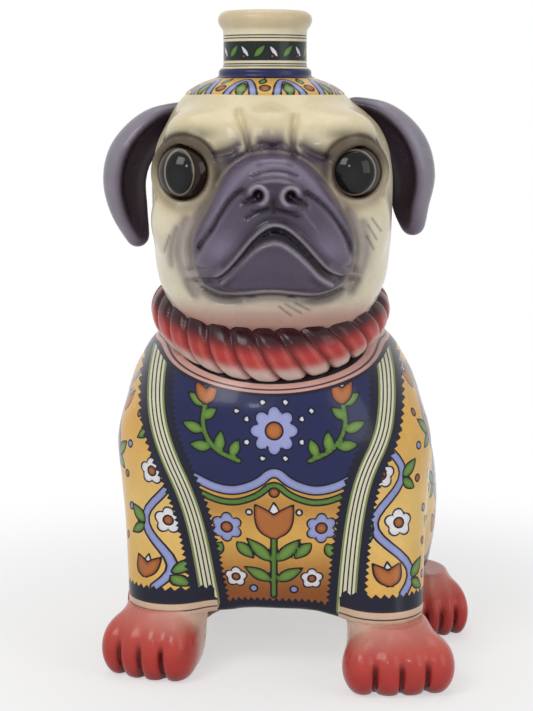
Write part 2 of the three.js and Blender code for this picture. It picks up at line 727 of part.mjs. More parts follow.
/** A named mesh with its glaze or material. */
function piece(name, geometry, color, roughness) {
  const material = new THREE.MeshStandardMaterial({ color, roughness, metalness: 0 });
  const mesh = new THREE.Mesh(geometry, material);
  mesh.name = name;
  return mesh;
}

const GLAZE = { cream: '#e6dcc4', ochre: '#d9a24c', purple: '#5f5168', red: '#b8433c', black: '#17151a' };
const GLAZE_ROUGHNESS = 0.18;
const CORK_COLOUR = '#b98a5a';
const CORK_ROUGHNESS = 0.9;
const SIDES = [['right', -1], ['left', 1]];

const noInset = () => 0;
const seamInset = () => -SEAM_GAP;
const grooveRadius = (COLLAR_ROPE_RADIUS + SEAM_GAP) / Math.cos(Math.PI / GROOVE_POINTS);
const groove = solid(ropeCollar(grooveRadius, 0, GROOVE_STEPS, GROOVE_POINTS));

let body = solid(loft(torsoCore(noInset, RING_POINTS, TORSO_LEVELS)));
for (const [, side] of SIDES) {
  body = body.add(foreleg(side)).add(haunch(side));
}
body = body.subtract(bellyArch(0)).subtract(cuffSpace(0));
for (const [, side] of SIDES) {
  body = body.subtract(frontPaw(side, SEAM_GAP)).subtract(hindPaw(side, SEAM_GAP));
}
const hollowRings = torsoCore(torsoWall, CAVITY_POINTS, CAVITY_LEVELS, WALL / TORSO_HEIGHT);
const hollow = solid(loft(runThrough(hollowRings, 0, WALL)));
body = body.subtract(hollow.subtract(bellyArch(WALL)).subtract(cuffSpace(WALL)));
body = largest(body.subtract(groove));

let head = solid(loft(skull(noInset, RING_POINTS, HEAD_LEVELS)));
let face = solid(loft(skull(seamInset, RING_POINTS, HEAD_LEVELS)));
for (const [, side] of SIDES) {
  head = head.add(eyelid(side, 0));
  face = face.add(eyelid(side, SEAM_GAP)).add(eyeball(side, SEAM_GAP));
}
let headHollow = solid(loft(runThrough(skull(headWall, CAVITY_POINTS, CAVITY_LEVELS), WALL, WALL)));
for (const [, side] of SIDES) {
  headHollow = headHollow.subtract(eyeball(side, WALL));
}
head = head.subtract(headHollow).subtract(groove);
for (const [, side] of SIDES) {
  head = head.subtract(eyeball(side, SEAM_GAP));
}
head = largest(head);

const torsoSkin = solid(loft(torsoCore(seamInset, RING_POINTS, TORSO_LEVELS)));

const bottle = new THREE.Group();
bottle.add(piece('body_shell', geometryOf(body), GLAZE.ochre, GLAZE_ROUGHNESS));
bottle.add(piece('head_shell', geometryOf(head), GLAZE.cream, GLAZE_ROUGHNESS));
bottle.add(piece('neck', neck(), GLAZE.cream, GLAZE_ROUGHNESS));
const rope = ropeCollar(COLLAR_ROPE_RADIUS, COLLAR_GROOVE, COLLAR_TWISTS * 4, 10);
bottle.add(piece('rope_collar', rope, GLAZE.red, GLAZE_ROUGHNESS));
bottle.add(piece('muzzle', geometryOf(muzzle(face)), GLAZE.purple, GLAZE_ROUGHNESS));
for (const [name, side] of SIDES) {
  bottle.add(piece(`eye_${name}`, geometryOf(eyeball(side, 0)), GLAZE.black, GLAZE_ROUGHNESS));
  bottle.add(piece(`ear_${name}`, geometryOf(ear(side).subtract(face)), GLAZE.purple, GLAZE_ROUGHNESS));
  bottle.add(piece(`front_paw_${name}`, geometryOf(frontPaw(side, 0)), GLAZE.red, GLAZE_ROUGHNESS));
  bottle.add(piece(`hind_paw_${name}`, geometryOf(hindPaw(side, 0)), GLAZE.red, GLAZE_ROUGHNESS));
}
bottle.add(piece('tail', geometryOf(tail().subtract(torsoSkin)), GLAZE.ochre, GLAZE_ROUGHNESS));
bottle.add(piece('cork', cork(), CORK_COLOUR, CORK_ROUGHNESS));

// The origin is the middle of the bottle's footprint, on the surface that it stands on.
const footprint = new THREE.Box3().setFromObject(bottle);
const centre = footprint.getCenter(new THREE.Vector3());
bottle.position.set(-centre.x, -centre.y, -footprint.min.z);

export default bottle;
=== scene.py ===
"""Looks of a glazed ceramic bottle in the form of a sitting pug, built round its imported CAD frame."""

import logging
import math
from dataclasses import dataclass, field
from enum import Enum
from functools import reduce
from typing import Callable, Iterable, Protocol, Sequence

import bpy
import numpy as np
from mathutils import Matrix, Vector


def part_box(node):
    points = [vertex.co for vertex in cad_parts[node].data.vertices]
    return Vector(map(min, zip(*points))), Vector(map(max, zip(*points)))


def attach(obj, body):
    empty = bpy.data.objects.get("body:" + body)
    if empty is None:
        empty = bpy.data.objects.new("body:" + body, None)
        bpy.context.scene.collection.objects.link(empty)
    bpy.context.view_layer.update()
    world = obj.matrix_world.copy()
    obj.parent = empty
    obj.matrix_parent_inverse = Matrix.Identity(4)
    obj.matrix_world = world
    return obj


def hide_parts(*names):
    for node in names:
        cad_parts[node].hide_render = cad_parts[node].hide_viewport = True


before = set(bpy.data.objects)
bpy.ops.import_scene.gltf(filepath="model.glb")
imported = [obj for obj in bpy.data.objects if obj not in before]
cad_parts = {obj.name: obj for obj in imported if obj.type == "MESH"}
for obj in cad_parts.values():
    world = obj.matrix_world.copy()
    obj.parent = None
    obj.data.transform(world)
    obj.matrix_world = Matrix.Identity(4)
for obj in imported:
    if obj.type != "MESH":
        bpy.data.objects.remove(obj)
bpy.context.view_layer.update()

import openvdb
from mathutils import Vector

LOG = logging.getLogger("pug_bottle")
MM = 0.001
NECK_LOW, NECK_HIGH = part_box("neck")
AXIS = Vector(((NECK_LOW.x + NECK_HIGH.x) / 2, (NECK_LOW.y + NECK_HIGH.y) / 2, 0.0))
# Lean of the throat's plane in degrees, and where along the body it neither rises nor falls.
THROAT_LEAN, THROAT_MIDDLE = 10.0, -7.0
# The rope and the neckline dip and rise round the throat by this power of the way ahead or back.
THROAT_BEND = 1.6
# Reach of an ornament's colour where none is brushed, in millimetres.
BLANK = 9.0
# Values between which a noise pattern does most of its changing.
NOISE_LOW, NOISE_HIGH = 0.3, 0.7
WHITE = (1.0, 1.0, 1.0, 1.0)

Field = np.ndarray
Point = tuple[float, float, float]
Spot = tuple[float, float]
Line = Sequence[Spot]
Piece = bpy.types.Object
Tree = bpy.types.NodeTree
Socket = bpy.types.NodeSocket


# Small tools for shapes


def smooth_step(values: Field, low: float, high: float) -> Field:
    """Rise from 0 to 1 between two values, level at both ends.

    Args:
        values: Numbers to read.
        low: Value where the rise starts.
        high: Value where it ends; it may be lower than the start.

    Returns:
        Shares from 0 to 1.
    """
    share = np.clip((values - low) / (high - low), 0.0, 1.0)
    return share * share * (3.0 - 2.0 * share)


def bell(values: Field, middle: float, width: float) -> Field:
    """A soft hump that is 1 at its middle and falls to about a third one width away."""
    return np.exp(-(((values - middle) / width) ** 2))


def rounded_square(a: Field, b: Field, power: Field | float) -> Field:
    """How far out places lie on a ring between a circle and a square, 1 being on the ring."""
    return (np.abs(a) ** power + np.abs(b) ** power) ** (1.0 / power)


def throat_level(z: Field, along: Field, share: Field) -> Field:
    """Heights counted along the leaning throat instead of the upright.

    Args:
        z: Heights.
        along: Places along the body.
        share: Share of the way to the throat.

    Returns:
        Heights that are the same all over the throat's plane.
    """
    slope = math.tan(math.radians(THROAT_LEAN))
    return z - (along - THROAT_MIDDLE) * slope * smooth_step(share, 0.55, 1.0)


def curve_through(rows: Sequence[Sequence[float]]) -> Callable[[Field], list[Field]]:
    """Make a smooth reading of a profile.

    Args:
        rows: Rows of a place followed by the values there, in rising order.

    Returns:
        A function from places to one array for each value.
    """
    table = np.array(rows, dtype=float)
    places, values = table[:, 0], table[:, 1:]
    slopes = np.gradient(values, places, axis=0)
    fine = np.linspace(places[0], places[-1], 400)
    index = np.clip(np.searchsorted(places, fine) - 1, 0, len(places) - 2)
    span = (places[index + 1] - places[index])[:, None]
    t = ((fine - places[index])[:, None]) / span
    dense = (
        (2 * t**3 - 3 * t**2 + 1) * values[index]
        + (t**3 - 2 * t**2 + t) * span * slopes[index]
        + (-2 * t**3 + 3 * t**2) * values[index + 1]
        + (t**3 - t**2) * span * slopes[index + 1]
    )
    return lambda at: [np.interp(at, fine, dense[:, k]).astype(np.float32) for k in range(dense.shape[1])]


def join(a: Field, b: Field, blend: float) -> Field:
    """Two forms as one, with a fillet between them.

    Args:
        a: Distances to the first form.
        b: Distances to the second form.
        blend: Width of the fillet in millimetres.

    Returns:
        Distances to the joined form.
    """
    near = np.maximum(blend - np.abs(a - b), 0.0) / blend
    return np.minimum(a, b) - near * near * blend * 0.25


def carve(a: Field, b: Field, blend: float) -> Field:
    """The first form with the second cut out of it, along a rounded edge."""
    return -join(-a, b, blend)


def join_all(forms: Iterable[Field], blend: float) -> Field:
    """Several forms as one, each with a fillet to those before it."""
    return reduce(lambda done, form: join(done, form, blend), forms)


def lifted(line: Line, rise: float) -> Line:
    """A copy of a line, moved up."""
    return [(u, v + rise) for u, v in line]


def distance_to_line(u: Field, v: Field, line: Line) -> Field:
    """How far places of a plane lie from a drawn line.

    Args:
        u: First coordinate of the places.
        v: Second coordinate of the places.
        line: Corners of the line.

    Returns:
        Distances in the plane's own unit.
    """
    best = np.full(np.broadcast(u, v).shape, 1e6, dtype=np.float32)
    for (au, av), (bu, bv) in zip(line[:-1], line[1:]):
        du, dv = bu - au, bv - av
        t = np.clip(((u - au) * du + (v - av) * dv) / max(du * du + dv * dv, 1e-9), 0.0, 1.0)
        best = np.minimum(best, np.hypot(u - au - t * du, v - av - t * dv))
    return best


def trace(u: Field, v: Field, line: Line) -> tuple[Field, Field]:
    """Where places lie beside a drawn line.

    Args:
        u: First coordinate of the places.
        v: Second coordinate of the places.
        line: Corners of the line.

    Returns:
        Distance to the line, positive on its left hand, and the length run along it.
    """
    best = np.full(np.broadcast(u, v).shape, 1e6, dtype=np.float32)
    side, along, run = np.zeros_like(best), np.zeros_like(best), 0.0
    for (au, av), (bu, bv) in zip(line[:-1], line[1:]):
        du, dv = bu - au, bv - av
        length = math.hypot(du, dv)
        t = np.clip(((u - au) * du + (v - av) * dv) / (length * length), 0.0, 1.0)
        reach = np.hypot(u - au - t * du, v - av - t * dv)
        near = reach < best
        best = np.where(near, reach, best)
        side = np.where(near, np.sign(du * (v - av) - dv * (u - au)), side)
        along = np.where(near, run + t * length, along)
        run += length
    return best * side, along


def rounded(line: Line, passes: int = 2) -> Line:
    """Cut a line's corners, so that it runs as smoothly as a brush draws.

    Args:
        line: Corners of the line.
        passes: How often the corners are cut.

    Returns:
        Corners of the smoother line.
    """
    points = np.array(line, dtype=float)
    for _ in range(passes):
        quarter = points[:-1] * 0.75 + points[1:] * 0.25
        later = points[:-1] * 0.25 + points[1:] * 0.75
        points = np.vstack([points[:1], np.stack([quarter, later], 1).reshape(-1, 2), points[-1:]])
    return [tuple(p) for p in points]


def inside_outline(u: Field, v: Field, outline: Line) -> Field:
    """Tell whether places lie inside a closed outline.

    Args:
        u: First coordinate of the places.
        v: Second coordinate of the places.
        outline: Corners of the outline.

    Returns:
        Truth for each place.
    """
    inside = np.zeros(np.broadcast(u, v).shape, dtype=bool)
    closed = list(outline) + [outline[0]]
    for (au, av), (bu, bv) in zip(closed[:-1], closed[1:]):
        crosses = (av > v) != (bv > v)
        rise = (bv - av) if abs(bv - av) > 1e-9 else 1e-9
        inside ^= crosses & (u < (bu - au) * (v - av) / rise + au)
    return inside


def signed_outline(u: Field, v: Field, outline: Line) -> Field:
    """How far places of a plane lie from a closed outline.

    Args:
        u: First coordinate of the places.
        v: Second coordinate of the places.
        outline: Corners of the outline.

    Returns:
        Distances, negative inside the outline.
    """
    closed = list(outline) + [outline[0]]
    reach = distance_to_line(u, v, closed)
    return np.where(inside_outline(u, v, outline), -reach, reach)


@dataclass
class Clay:
    """A block of space in which forms are pressed together before they become a mesh.

    Every form is an array of distances in millimetres, negative inside.
    Places are counted from the floor under the neck's middle.
    """

    low: Point
    high: Point
    grain: float
    x: Field = field(init=False, repr=False)
    y: Field = field(init=False, repr=False)
    z: Field = field(init=False, repr=False)

    def __post_init__(self) -> None:
        """Lay out the grid of places."""
        axes = [np.arange(a, b + self.grain, self.grain, dtype=np.float32) for a, b in zip(self.low, self.high)]
        self.x, self.y, self.z = np.meshgrid(*axes, indexing="ij", sparse=True)

    @classmethod
    def probe(cls, places: Field) -> "Clay":
        """Read forms at given places instead of on a grid.

        Args:
            places: One row of three coordinates for each place.

        Returns:
            A block whose forms give one distance for each place.
        """
        clay = cls.__new__(cls)
        clay.x, clay.y, clay.z = (places[:, k] for k in range(3))
        return clay

    def turned(self, place: Point, turn: float, lean: float = 0.0) -> tuple[Field, Field, Field]:
        """Coordinates seen from a form's own middle.

        Args:
            place: The form's middle.
            turn: Its turn about the upright, in degrees.
            lean: Its lean from the upright towards its own side, in degrees.

        Returns:
            The three coordinates in the form's own directions.
        """
        dx, dy, dz = self.x - place[0], self.y - place[1], self.z - place[2]
        c, s = math.cos(math.radians(turn)), math.sin(math.radians(turn))
        u, v = dx * c + dy * s, dy * c - dx * s
        c, s = math.cos(math.radians(lean)), math.sin(math.radians(lean))
        return u * c - dz * s, v, dz * c + u * s

    def egg(self, place: Point, half: Point, turn: float = 0.0, lean: float = 0.0) -> Field:
        """An egg-shaped lump.

        Args:
            place: Its middle.
            half: Its three half sizes.
            turn: Its turn about the upright, in degrees.
            lean: Its sideways lean, in degrees.

        Returns:
            Distances to its surface.
        """
        u, v, w = self.turned(place, turn, lean)
        a, b, c = (np.float32(h) for h in half)
        near = np.sqrt((u / a) ** 2 + (v / b) ** 2 + (w / c) ** 2)
        slope = np.sqrt((u / a**2) ** 2 + (v / b**2) ** 2 + (w / c**2) ** 2)
        return near * (near - 1.0) / np.maximum(slope, 1e-6)

    def limb(self, start: Point, end: Point, start_radius: float, end_radius: float) -> Field:
        """A round limb that tapers from one end to the other.

        Args:
            start: Middle of its first end.
            end: Middle of its other end.
            start_radius: Radius at the first end.
            end_radius: Radius at the other end.

        Returns:
            Distances to its surface.
        """
        dx, dy, dz = (b - a for a, b in zip(start, end))
        px, py, pz = self.x - start[0], self.y - start[1], self.z - start[2]
        t = np.clip((px * dx + py * dy + pz * dz) / (dx * dx + dy * dy + dz * dz), 0.0, 1.0)
        reach = np.sqrt((px - t * dx) ** 2 + (py - t * dy) ** 2 + (pz - t * dz) ** 2)
        return reach - (start_radius + (end_radius - start_radius) * t)

    def ring(self, place: Point, look: tuple[float, float, float], radius: float, thickness: float) -> Field:
        """A round ring of clay, square to the way it looks.

        Args:
            place: Its middle.
            look: The direction it faces.
            radius: Radius of its centre line.
            thickness: Radius of its section.

        Returns:
            Distances to its surface.
        """
        facing = Vector(look).normalized()
        px, py, pz = self.x - place[0], self.y - place[1], self.z - place[2]
        along = px * facing.x + py * facing.y + pz * facing.z
        across = np.sqrt(np.maximum(px**2 + py**2 + pz**2 - along**2, 0.0))
        return np.hypot(across - radius, along) - thickness

    def cast(self, name: str, form: Field, smoothing: int = 3) -> Piece:
        """Turn a form into a mesh object in the frame's own place.

        Args:
            name: Name of the new object.
            form: Distances to the form's surface.
            smoothing: Passes of the smoothing that takes out the grid's steps.

        Returns:
            The new object.
        """
        grid = openvdb.FloatGrid(float(self.grain * 3.0))
        grid.copyFromArray(np.ascontiguousarray(form, dtype=np.float32) / np.float32(self.grain))
        points, quads = grid.convertToQuads(isovalue=0.0)
        places = np.asarray(points, dtype=np.float64) * self.grain + np.array(self.low)
        first, second, third, fourth = (places[quads[:, k]] for k in range(4))
        volume = np.sum(np.cross(second - first, third - first) * first)
        volume += np.sum(np.cross(third - first, fourth - first) * first)
        faces = quads if volume > 0 else quads[:, ::-1]
        mesh = bpy.data.meshes.new(name)
        mesh.from_pydata((places * MM + np.array(AXIS)).tolist(), [], faces.tolist())
        mesh.validate()
        piece = bpy.data.objects.new(name, mesh)
        bpy.context.scene.collection.objects.link(piece)
        select_only(piece)
        bpy.ops.object.shade_smooth()
        if smoothing:
            smoother = piece.modifiers.new("settle", "SMOOTH")
            smoother.factor = 0.5
            smoother.iterations = smoothing
            bpy.ops.object.modifier_apply(modifier=smoother.name)
        return piece


def select_only(piece: Piece) -> None:
    """Make one object the only one that an operator acts on.

    Args:
        piece: The object.
    """
    bpy.ops.object.select_all(action="DESELECT")
    piece.select_set(True)
    bpy.context.view_layer.objects.active = piece


def places_of(piece: Piece) -> Field:
    """Read where a piece's vertices are.

    Args:
        piece: The piece to read.

    Returns:
        One row for each vertex, in millimetres from the floor under the neck's middle.
    """
    flat = np.empty(len(piece.data.vertices) * 3, dtype=np.float32)
    piece.data.vertices.foreach_get("co", flat)
    return (flat.reshape(-1, 3) - np.array(AXIS, dtype=np.float32)) / np.float32(MM)


def move_to(piece: Piece, places: Field) -> None:
    """Put a piece's vertices at new places.

    Args:
        piece: The piece to change.
        places: One row for each vertex, in millimetres from the floor under the neck's middle.
    """
    flat = (places * MM + np.array(AXIS)).astype(np.float32)
    piece.data.vertices.foreach_set("co", flat.ravel())
    piece.data.update()


def weld(piece: Piece, threshold: float) -> None:
    """Join a rolled or turned mesh to itself and face it outwards.

    Args:
        piece: The piece to close.
        threshold: Vertices closer than this many metres become one.
    """
    select_only(piece)
    bpy.ops.object.mode_set(mode="EDIT")
    bpy.ops.mesh.select_all(action="SELECT")
    bpy.ops.mesh.remove_doubles(threshold=threshold)
    bpy.ops.mesh.normals_make_consistent(inside=False)
    bpy.ops.object.mode_set(mode="OBJECT")


def paint(piece: Piece, name: str, values: Field) -> None:
    """Store one number for each vertex, for a finish to read.

    Args:
        piece: The piece to paint.
        name: Name that the finish reads.
        values: One number for each vertex.
    """
    layer = piece.data.attributes.get(name) or piece.data.attributes.new(name, "FLOAT", "POINT")
    layer.data.foreach_set("value", np.ascontiguousarray(values, dtype=np.float32).ravel())


def hand_over(piece: Piece, body: str, nodes: Sequence[str]) -> None:
    """Tell the frame what a finished piece rides on and stands for.

    Args:
        piece: The finished piece.
        body: The body it moves with.
        nodes: CAD nodes that it replaces.
    """
    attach(piece, body)
    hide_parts(*nodes)
    LOG.info("%s: %d faces, replaces %s", piece.name, len(piece.data.polygons), ", ".join(nodes))


# Finishes


def linear(hex_colour: str) -> tuple[float, float, float, float]:
    """Turn an sRGB hex colour into the linear colour that a shader takes.

    Args:
        hex_colour: Six hex digits after a hash sign.

    Returns:
        Red, green, blue and an alpha of 1.
    """
    parts = [int(hex_colour[k:k + 2], 16) / 255 for k in (1, 3, 5)]
    return tuple(p / 12.92 if p <= 0.04045 else ((p + 0.055) / 1.055) ** 2.4 for p in parts) + (1.0,)


def add_node(tree: Tree, kind: str, settings: dict | None = None, links: dict | None = None,
             values: dict | None = None) -> bpy.types.Node:
    """Add one node with its settings, fixed values and links.

    Args:
        tree: The tree to add to.
        kind: Blender's name for the node.
        settings: Properties of the node itself.
        links: Input names or numbers, each with the socket that feeds it.
        values: Input names or numbers, each with its fixed value.

    Returns:
        The new node.
    """
    node = tree.nodes.new(kind)
    for name, value in (settings or {}).items():
        setattr(node, name, value)
    for name, value in (values or {}).items():
        node.inputs[name].default_value = value
    for name, socket in (links or {}).items():
        tree.links.new(socket, node.inputs[name])
    return node


def start_material(piece: Piece, name: str) -> tuple[Tree, bpy.types.Node]:
    """Cover a piece with a material that has nothing but its shader and output.

    Args:
        piece: The piece to cover.
        name: The material's name.

    Returns:
        The material's node tree and its Principled shader.
    """
    material = bpy.data.materials.new(name)
    material.use_nodes = True
    piece.data.materials.clear()
    piece.data.materials.append(material)
    tree = material.node_tree
    tree.nodes.clear()
    shader = add_node(tree, "ShaderNodeBsdfPrincipled")
    add_node(tree, "ShaderNodeOutputMaterial", links={"Surface": shader.outputs["BSDF"]})
    return tree, shader


def noise(tree: Tree, coords: Socket, size: float, detail: float, roughness: float = 0.5) -> Socket:
    """A cloudy pattern.

    Args:
        tree: The tree to add to.
        coords: Where on the piece the pattern is read.
        size: Size of its clouds in millimetres.
        detail: How many finer patterns lie over it.
        roughness: How strong the finer ones are.

    Returns:
        The pattern's values.
    """
    values = {"Scale": 1.0 / (size * MM), "Detail": detail, "Roughness": roughness}
    return add_node(tree, "ShaderNodeTexNoise", links={"Vector": coords}, values=values).outputs["Fac"]


def spread(tree: Tree, value: Socket, low: float, high: float, start: float, end: float) -> Socket:
    """Turn values between two numbers into values between two others, held at both ends.

    Args:
        tree: The tree to add to.
        value: The values to turn.
        low: Value where the change starts.
        high: Value where it ends.
        start: What the low value becomes.
        end: What the high value becomes.

    Returns:
        The new values.
    """
    values = {1: low, 2: high, 3: start, 4: end}
    return add_node(tree, "ShaderNodeMapRange", links={0: value}, values=values).outputs[0]


def lay_over(tree: Tree, share: Socket, below: Socket, colour: str) -> Socket:
    """Lay a colour over another.

    Args:
        tree: The tree to add to.
        share: How strongly it covers, from 0 to 1.
        below: The colour below it.
        colour: The colour on top.

    Returns:
        The mixed colour.
    """
    mix = add_node(tree, "ShaderNodeMix", {"data_type": "RGBA"}, {0: share, 6: below}, {7: linear(colour)})
    return mix.outputs[2]


@dataclass(frozen=True)
class Spray:
    """Colour blown on softly, as strong as a painted layer says."""

    layer: str
    colour: str
    strength: float = 1.0

    def lay(self, tree: Tree, below: Socket) -> Socket:
        """Lay the colour over what is below it.

        Args:
            tree: The material's node tree.
            below: Colour of the coats below.

        Returns:
            Colour with this coat.
        """
        amount = add_node(tree, "ShaderNodeAttribute", {"attribute_name": self.layer}).outputs["Fac"]
        return lay_over(tree, spread(tree, amount, 0.0, 1.0, 0.0, self.strength), below, self.colour)


@dataclass(frozen=True)
class Band:
    """Colour with a brush's sharp edge, where a painted layer lies within a distance of a middle value.

    Teeth make the edge run in and out along a second layer of the same name ending in _along.
    """

    layer: str
    colour: str
    middle: float = 0.0
    half: float = 0.33
    soft: float = 0.08
    strength: float = 1.0
    teeth: float = 0.0
    pitch: float = 2.6

    def lay(self, tree: Tree, below: Socket) -> Socket:
        """Lay the colour over what is below it.

        Args:
            tree: The material's node tree.
            below: Colour of the coats below.

        Returns:
            Colour with this coat.
        """
        value = add_node(tree, "ShaderNodeAttribute", {"attribute_name": self.layer}).outputs["Fac"]
        gap = add_node(tree, "ShaderNodeMath", {"operation": "SUBTRACT"}, {0: value}, {1: self.middle})
        reach = add_node(tree, "ShaderNodeMath", {"operation": "ABSOLUTE"}, {0: gap.outputs[0]}).outputs[0]
        if self.teeth:
            run = add_node(tree, "ShaderNodeAttribute", {"attribute_name": self.layer + "_along"})
            swing = add_node(tree, "ShaderNodeMath", {"operation": "PINGPONG"}, {0: run.outputs["Fac"]},
                             {1: self.pitch / 2})
            reach = add_node(tree, "ShaderNodeMath", {"operation": "MULTIPLY_ADD"}, {0: swing.outputs[0], 2: reach},
                             {1: 2 * self.teeth / self.pitch}).outputs[0]
        share = spread(tree, reach, self.half - self.soft, self.half + self.soft, self.strength, 0.0)
        return lay_over(tree, share, below, self.colour)


@dataclass(frozen=True)
class Glaze:
    """Painted colours under a clear fired glaze: slightly mottled, with a smooth wet shine."""

    name: str
    ground: str
    coats: tuple[Spray | Band, ...] = ()
    roughness: float = 0.24
    shine: float = 0.10
    level: float = 0.20
    mottle: float = 0.07
    mottle_size: float = 11.0
    wash: tuple[float, float] = (0.95, 1.04)
    wear: tuple[float, float] = (-0.05, 0.07)
    skin_size: float = 2.2
    skin_height: float = 0.10

    def apply(self, piece: Piece) -> None:
        """Give a piece this finish.

        Args:
            piece: The piece, with the layers that the coats read already painted.
        """
        tree, shader = start_material(piece, self.name)
        coords = add_node(tree, "ShaderNodeTexCoord").outputs["Object"]
        wash = noise(tree, coords, 3.0 * self.mottle_size, 2.0)
        tone = spread(tree, wash, NOISE_LOW, NOISE_HIGH, *self.wash)
        colour = add_node(tree, "ShaderNodeHueSaturation", links={"Value": tone},
                          values={"Color": linear(self.ground)}).outputs["Color"]
        for coat in self.coats:
            colour = coat.lay(tree, colour)
        cloud = noise(tree, coords, self.mottle_size, 4.0, 0.6)
        depth = spread(tree, cloud, NOISE_LOW, NOISE_HIGH, 1.0 - self.mottle, 1.0 + self.mottle)
        mottled = add_node(tree, "ShaderNodeHueSaturation", links={"Color": colour, "Value": depth})
        wear = spread(tree, cloud, NOISE_LOW, NOISE_HIGH, *(self.roughness + change for change in self.wear))
        relief = add_node(tree, "ShaderNodeBump", links={"Height": noise(tree, coords, self.skin_size, 2.0)},
                          values={"Strength": 0.12, "Distance": self.skin_height * MM})
        tree.links.new(mottled.outputs["Color"], shader.inputs["Base Color"])
        tree.links.new(wear, shader.inputs["Roughness"])
        tree.links.new(relief.outputs["Normal"], shader.inputs["Normal"])
        shader.inputs["Specular IOR Level"].default_value = self.level
        shader.inputs["Coat Weight"].default_value = self.shine
        shader.inputs["Coat Roughness"].default_value = 0.06


# Painted ornament


class Pigment(Enum):
    """Colours of the brushed ornament, in the order in which they are laid."""

    NAVY = ("navy", "#14173a", "#242a58")
    LAVENDER = ("lavender", "#8088bd", "#a6abd8")
    GREEN = ("green", "#3f6b2c", "#7fa04a")
    PALE = ("pale_bloom", "#cfd2e6", "#f1ede4")
    RUST = ("rust", "#8a4426", "#c07840")

    @property
    def layer(self) -> str:
        """Name of the painted layer."""
        return self.value[0]

    def coats(self, ink: str) -> tuple[Band, ...]:
        """Fill, lighter middle and dark outline of this colour.

        Args:
            ink: Colour of the outline.

        Returns:
            The coats, lowest first.
        """
        return (
            Band(self.layer, self.value[1], -50.0, 50.0),
            Band(self.layer, self.value[2], -50.0, 49.1, 0.75, 0.75),
            Band(self.layer, ink, 0.0, 0.36),
        )


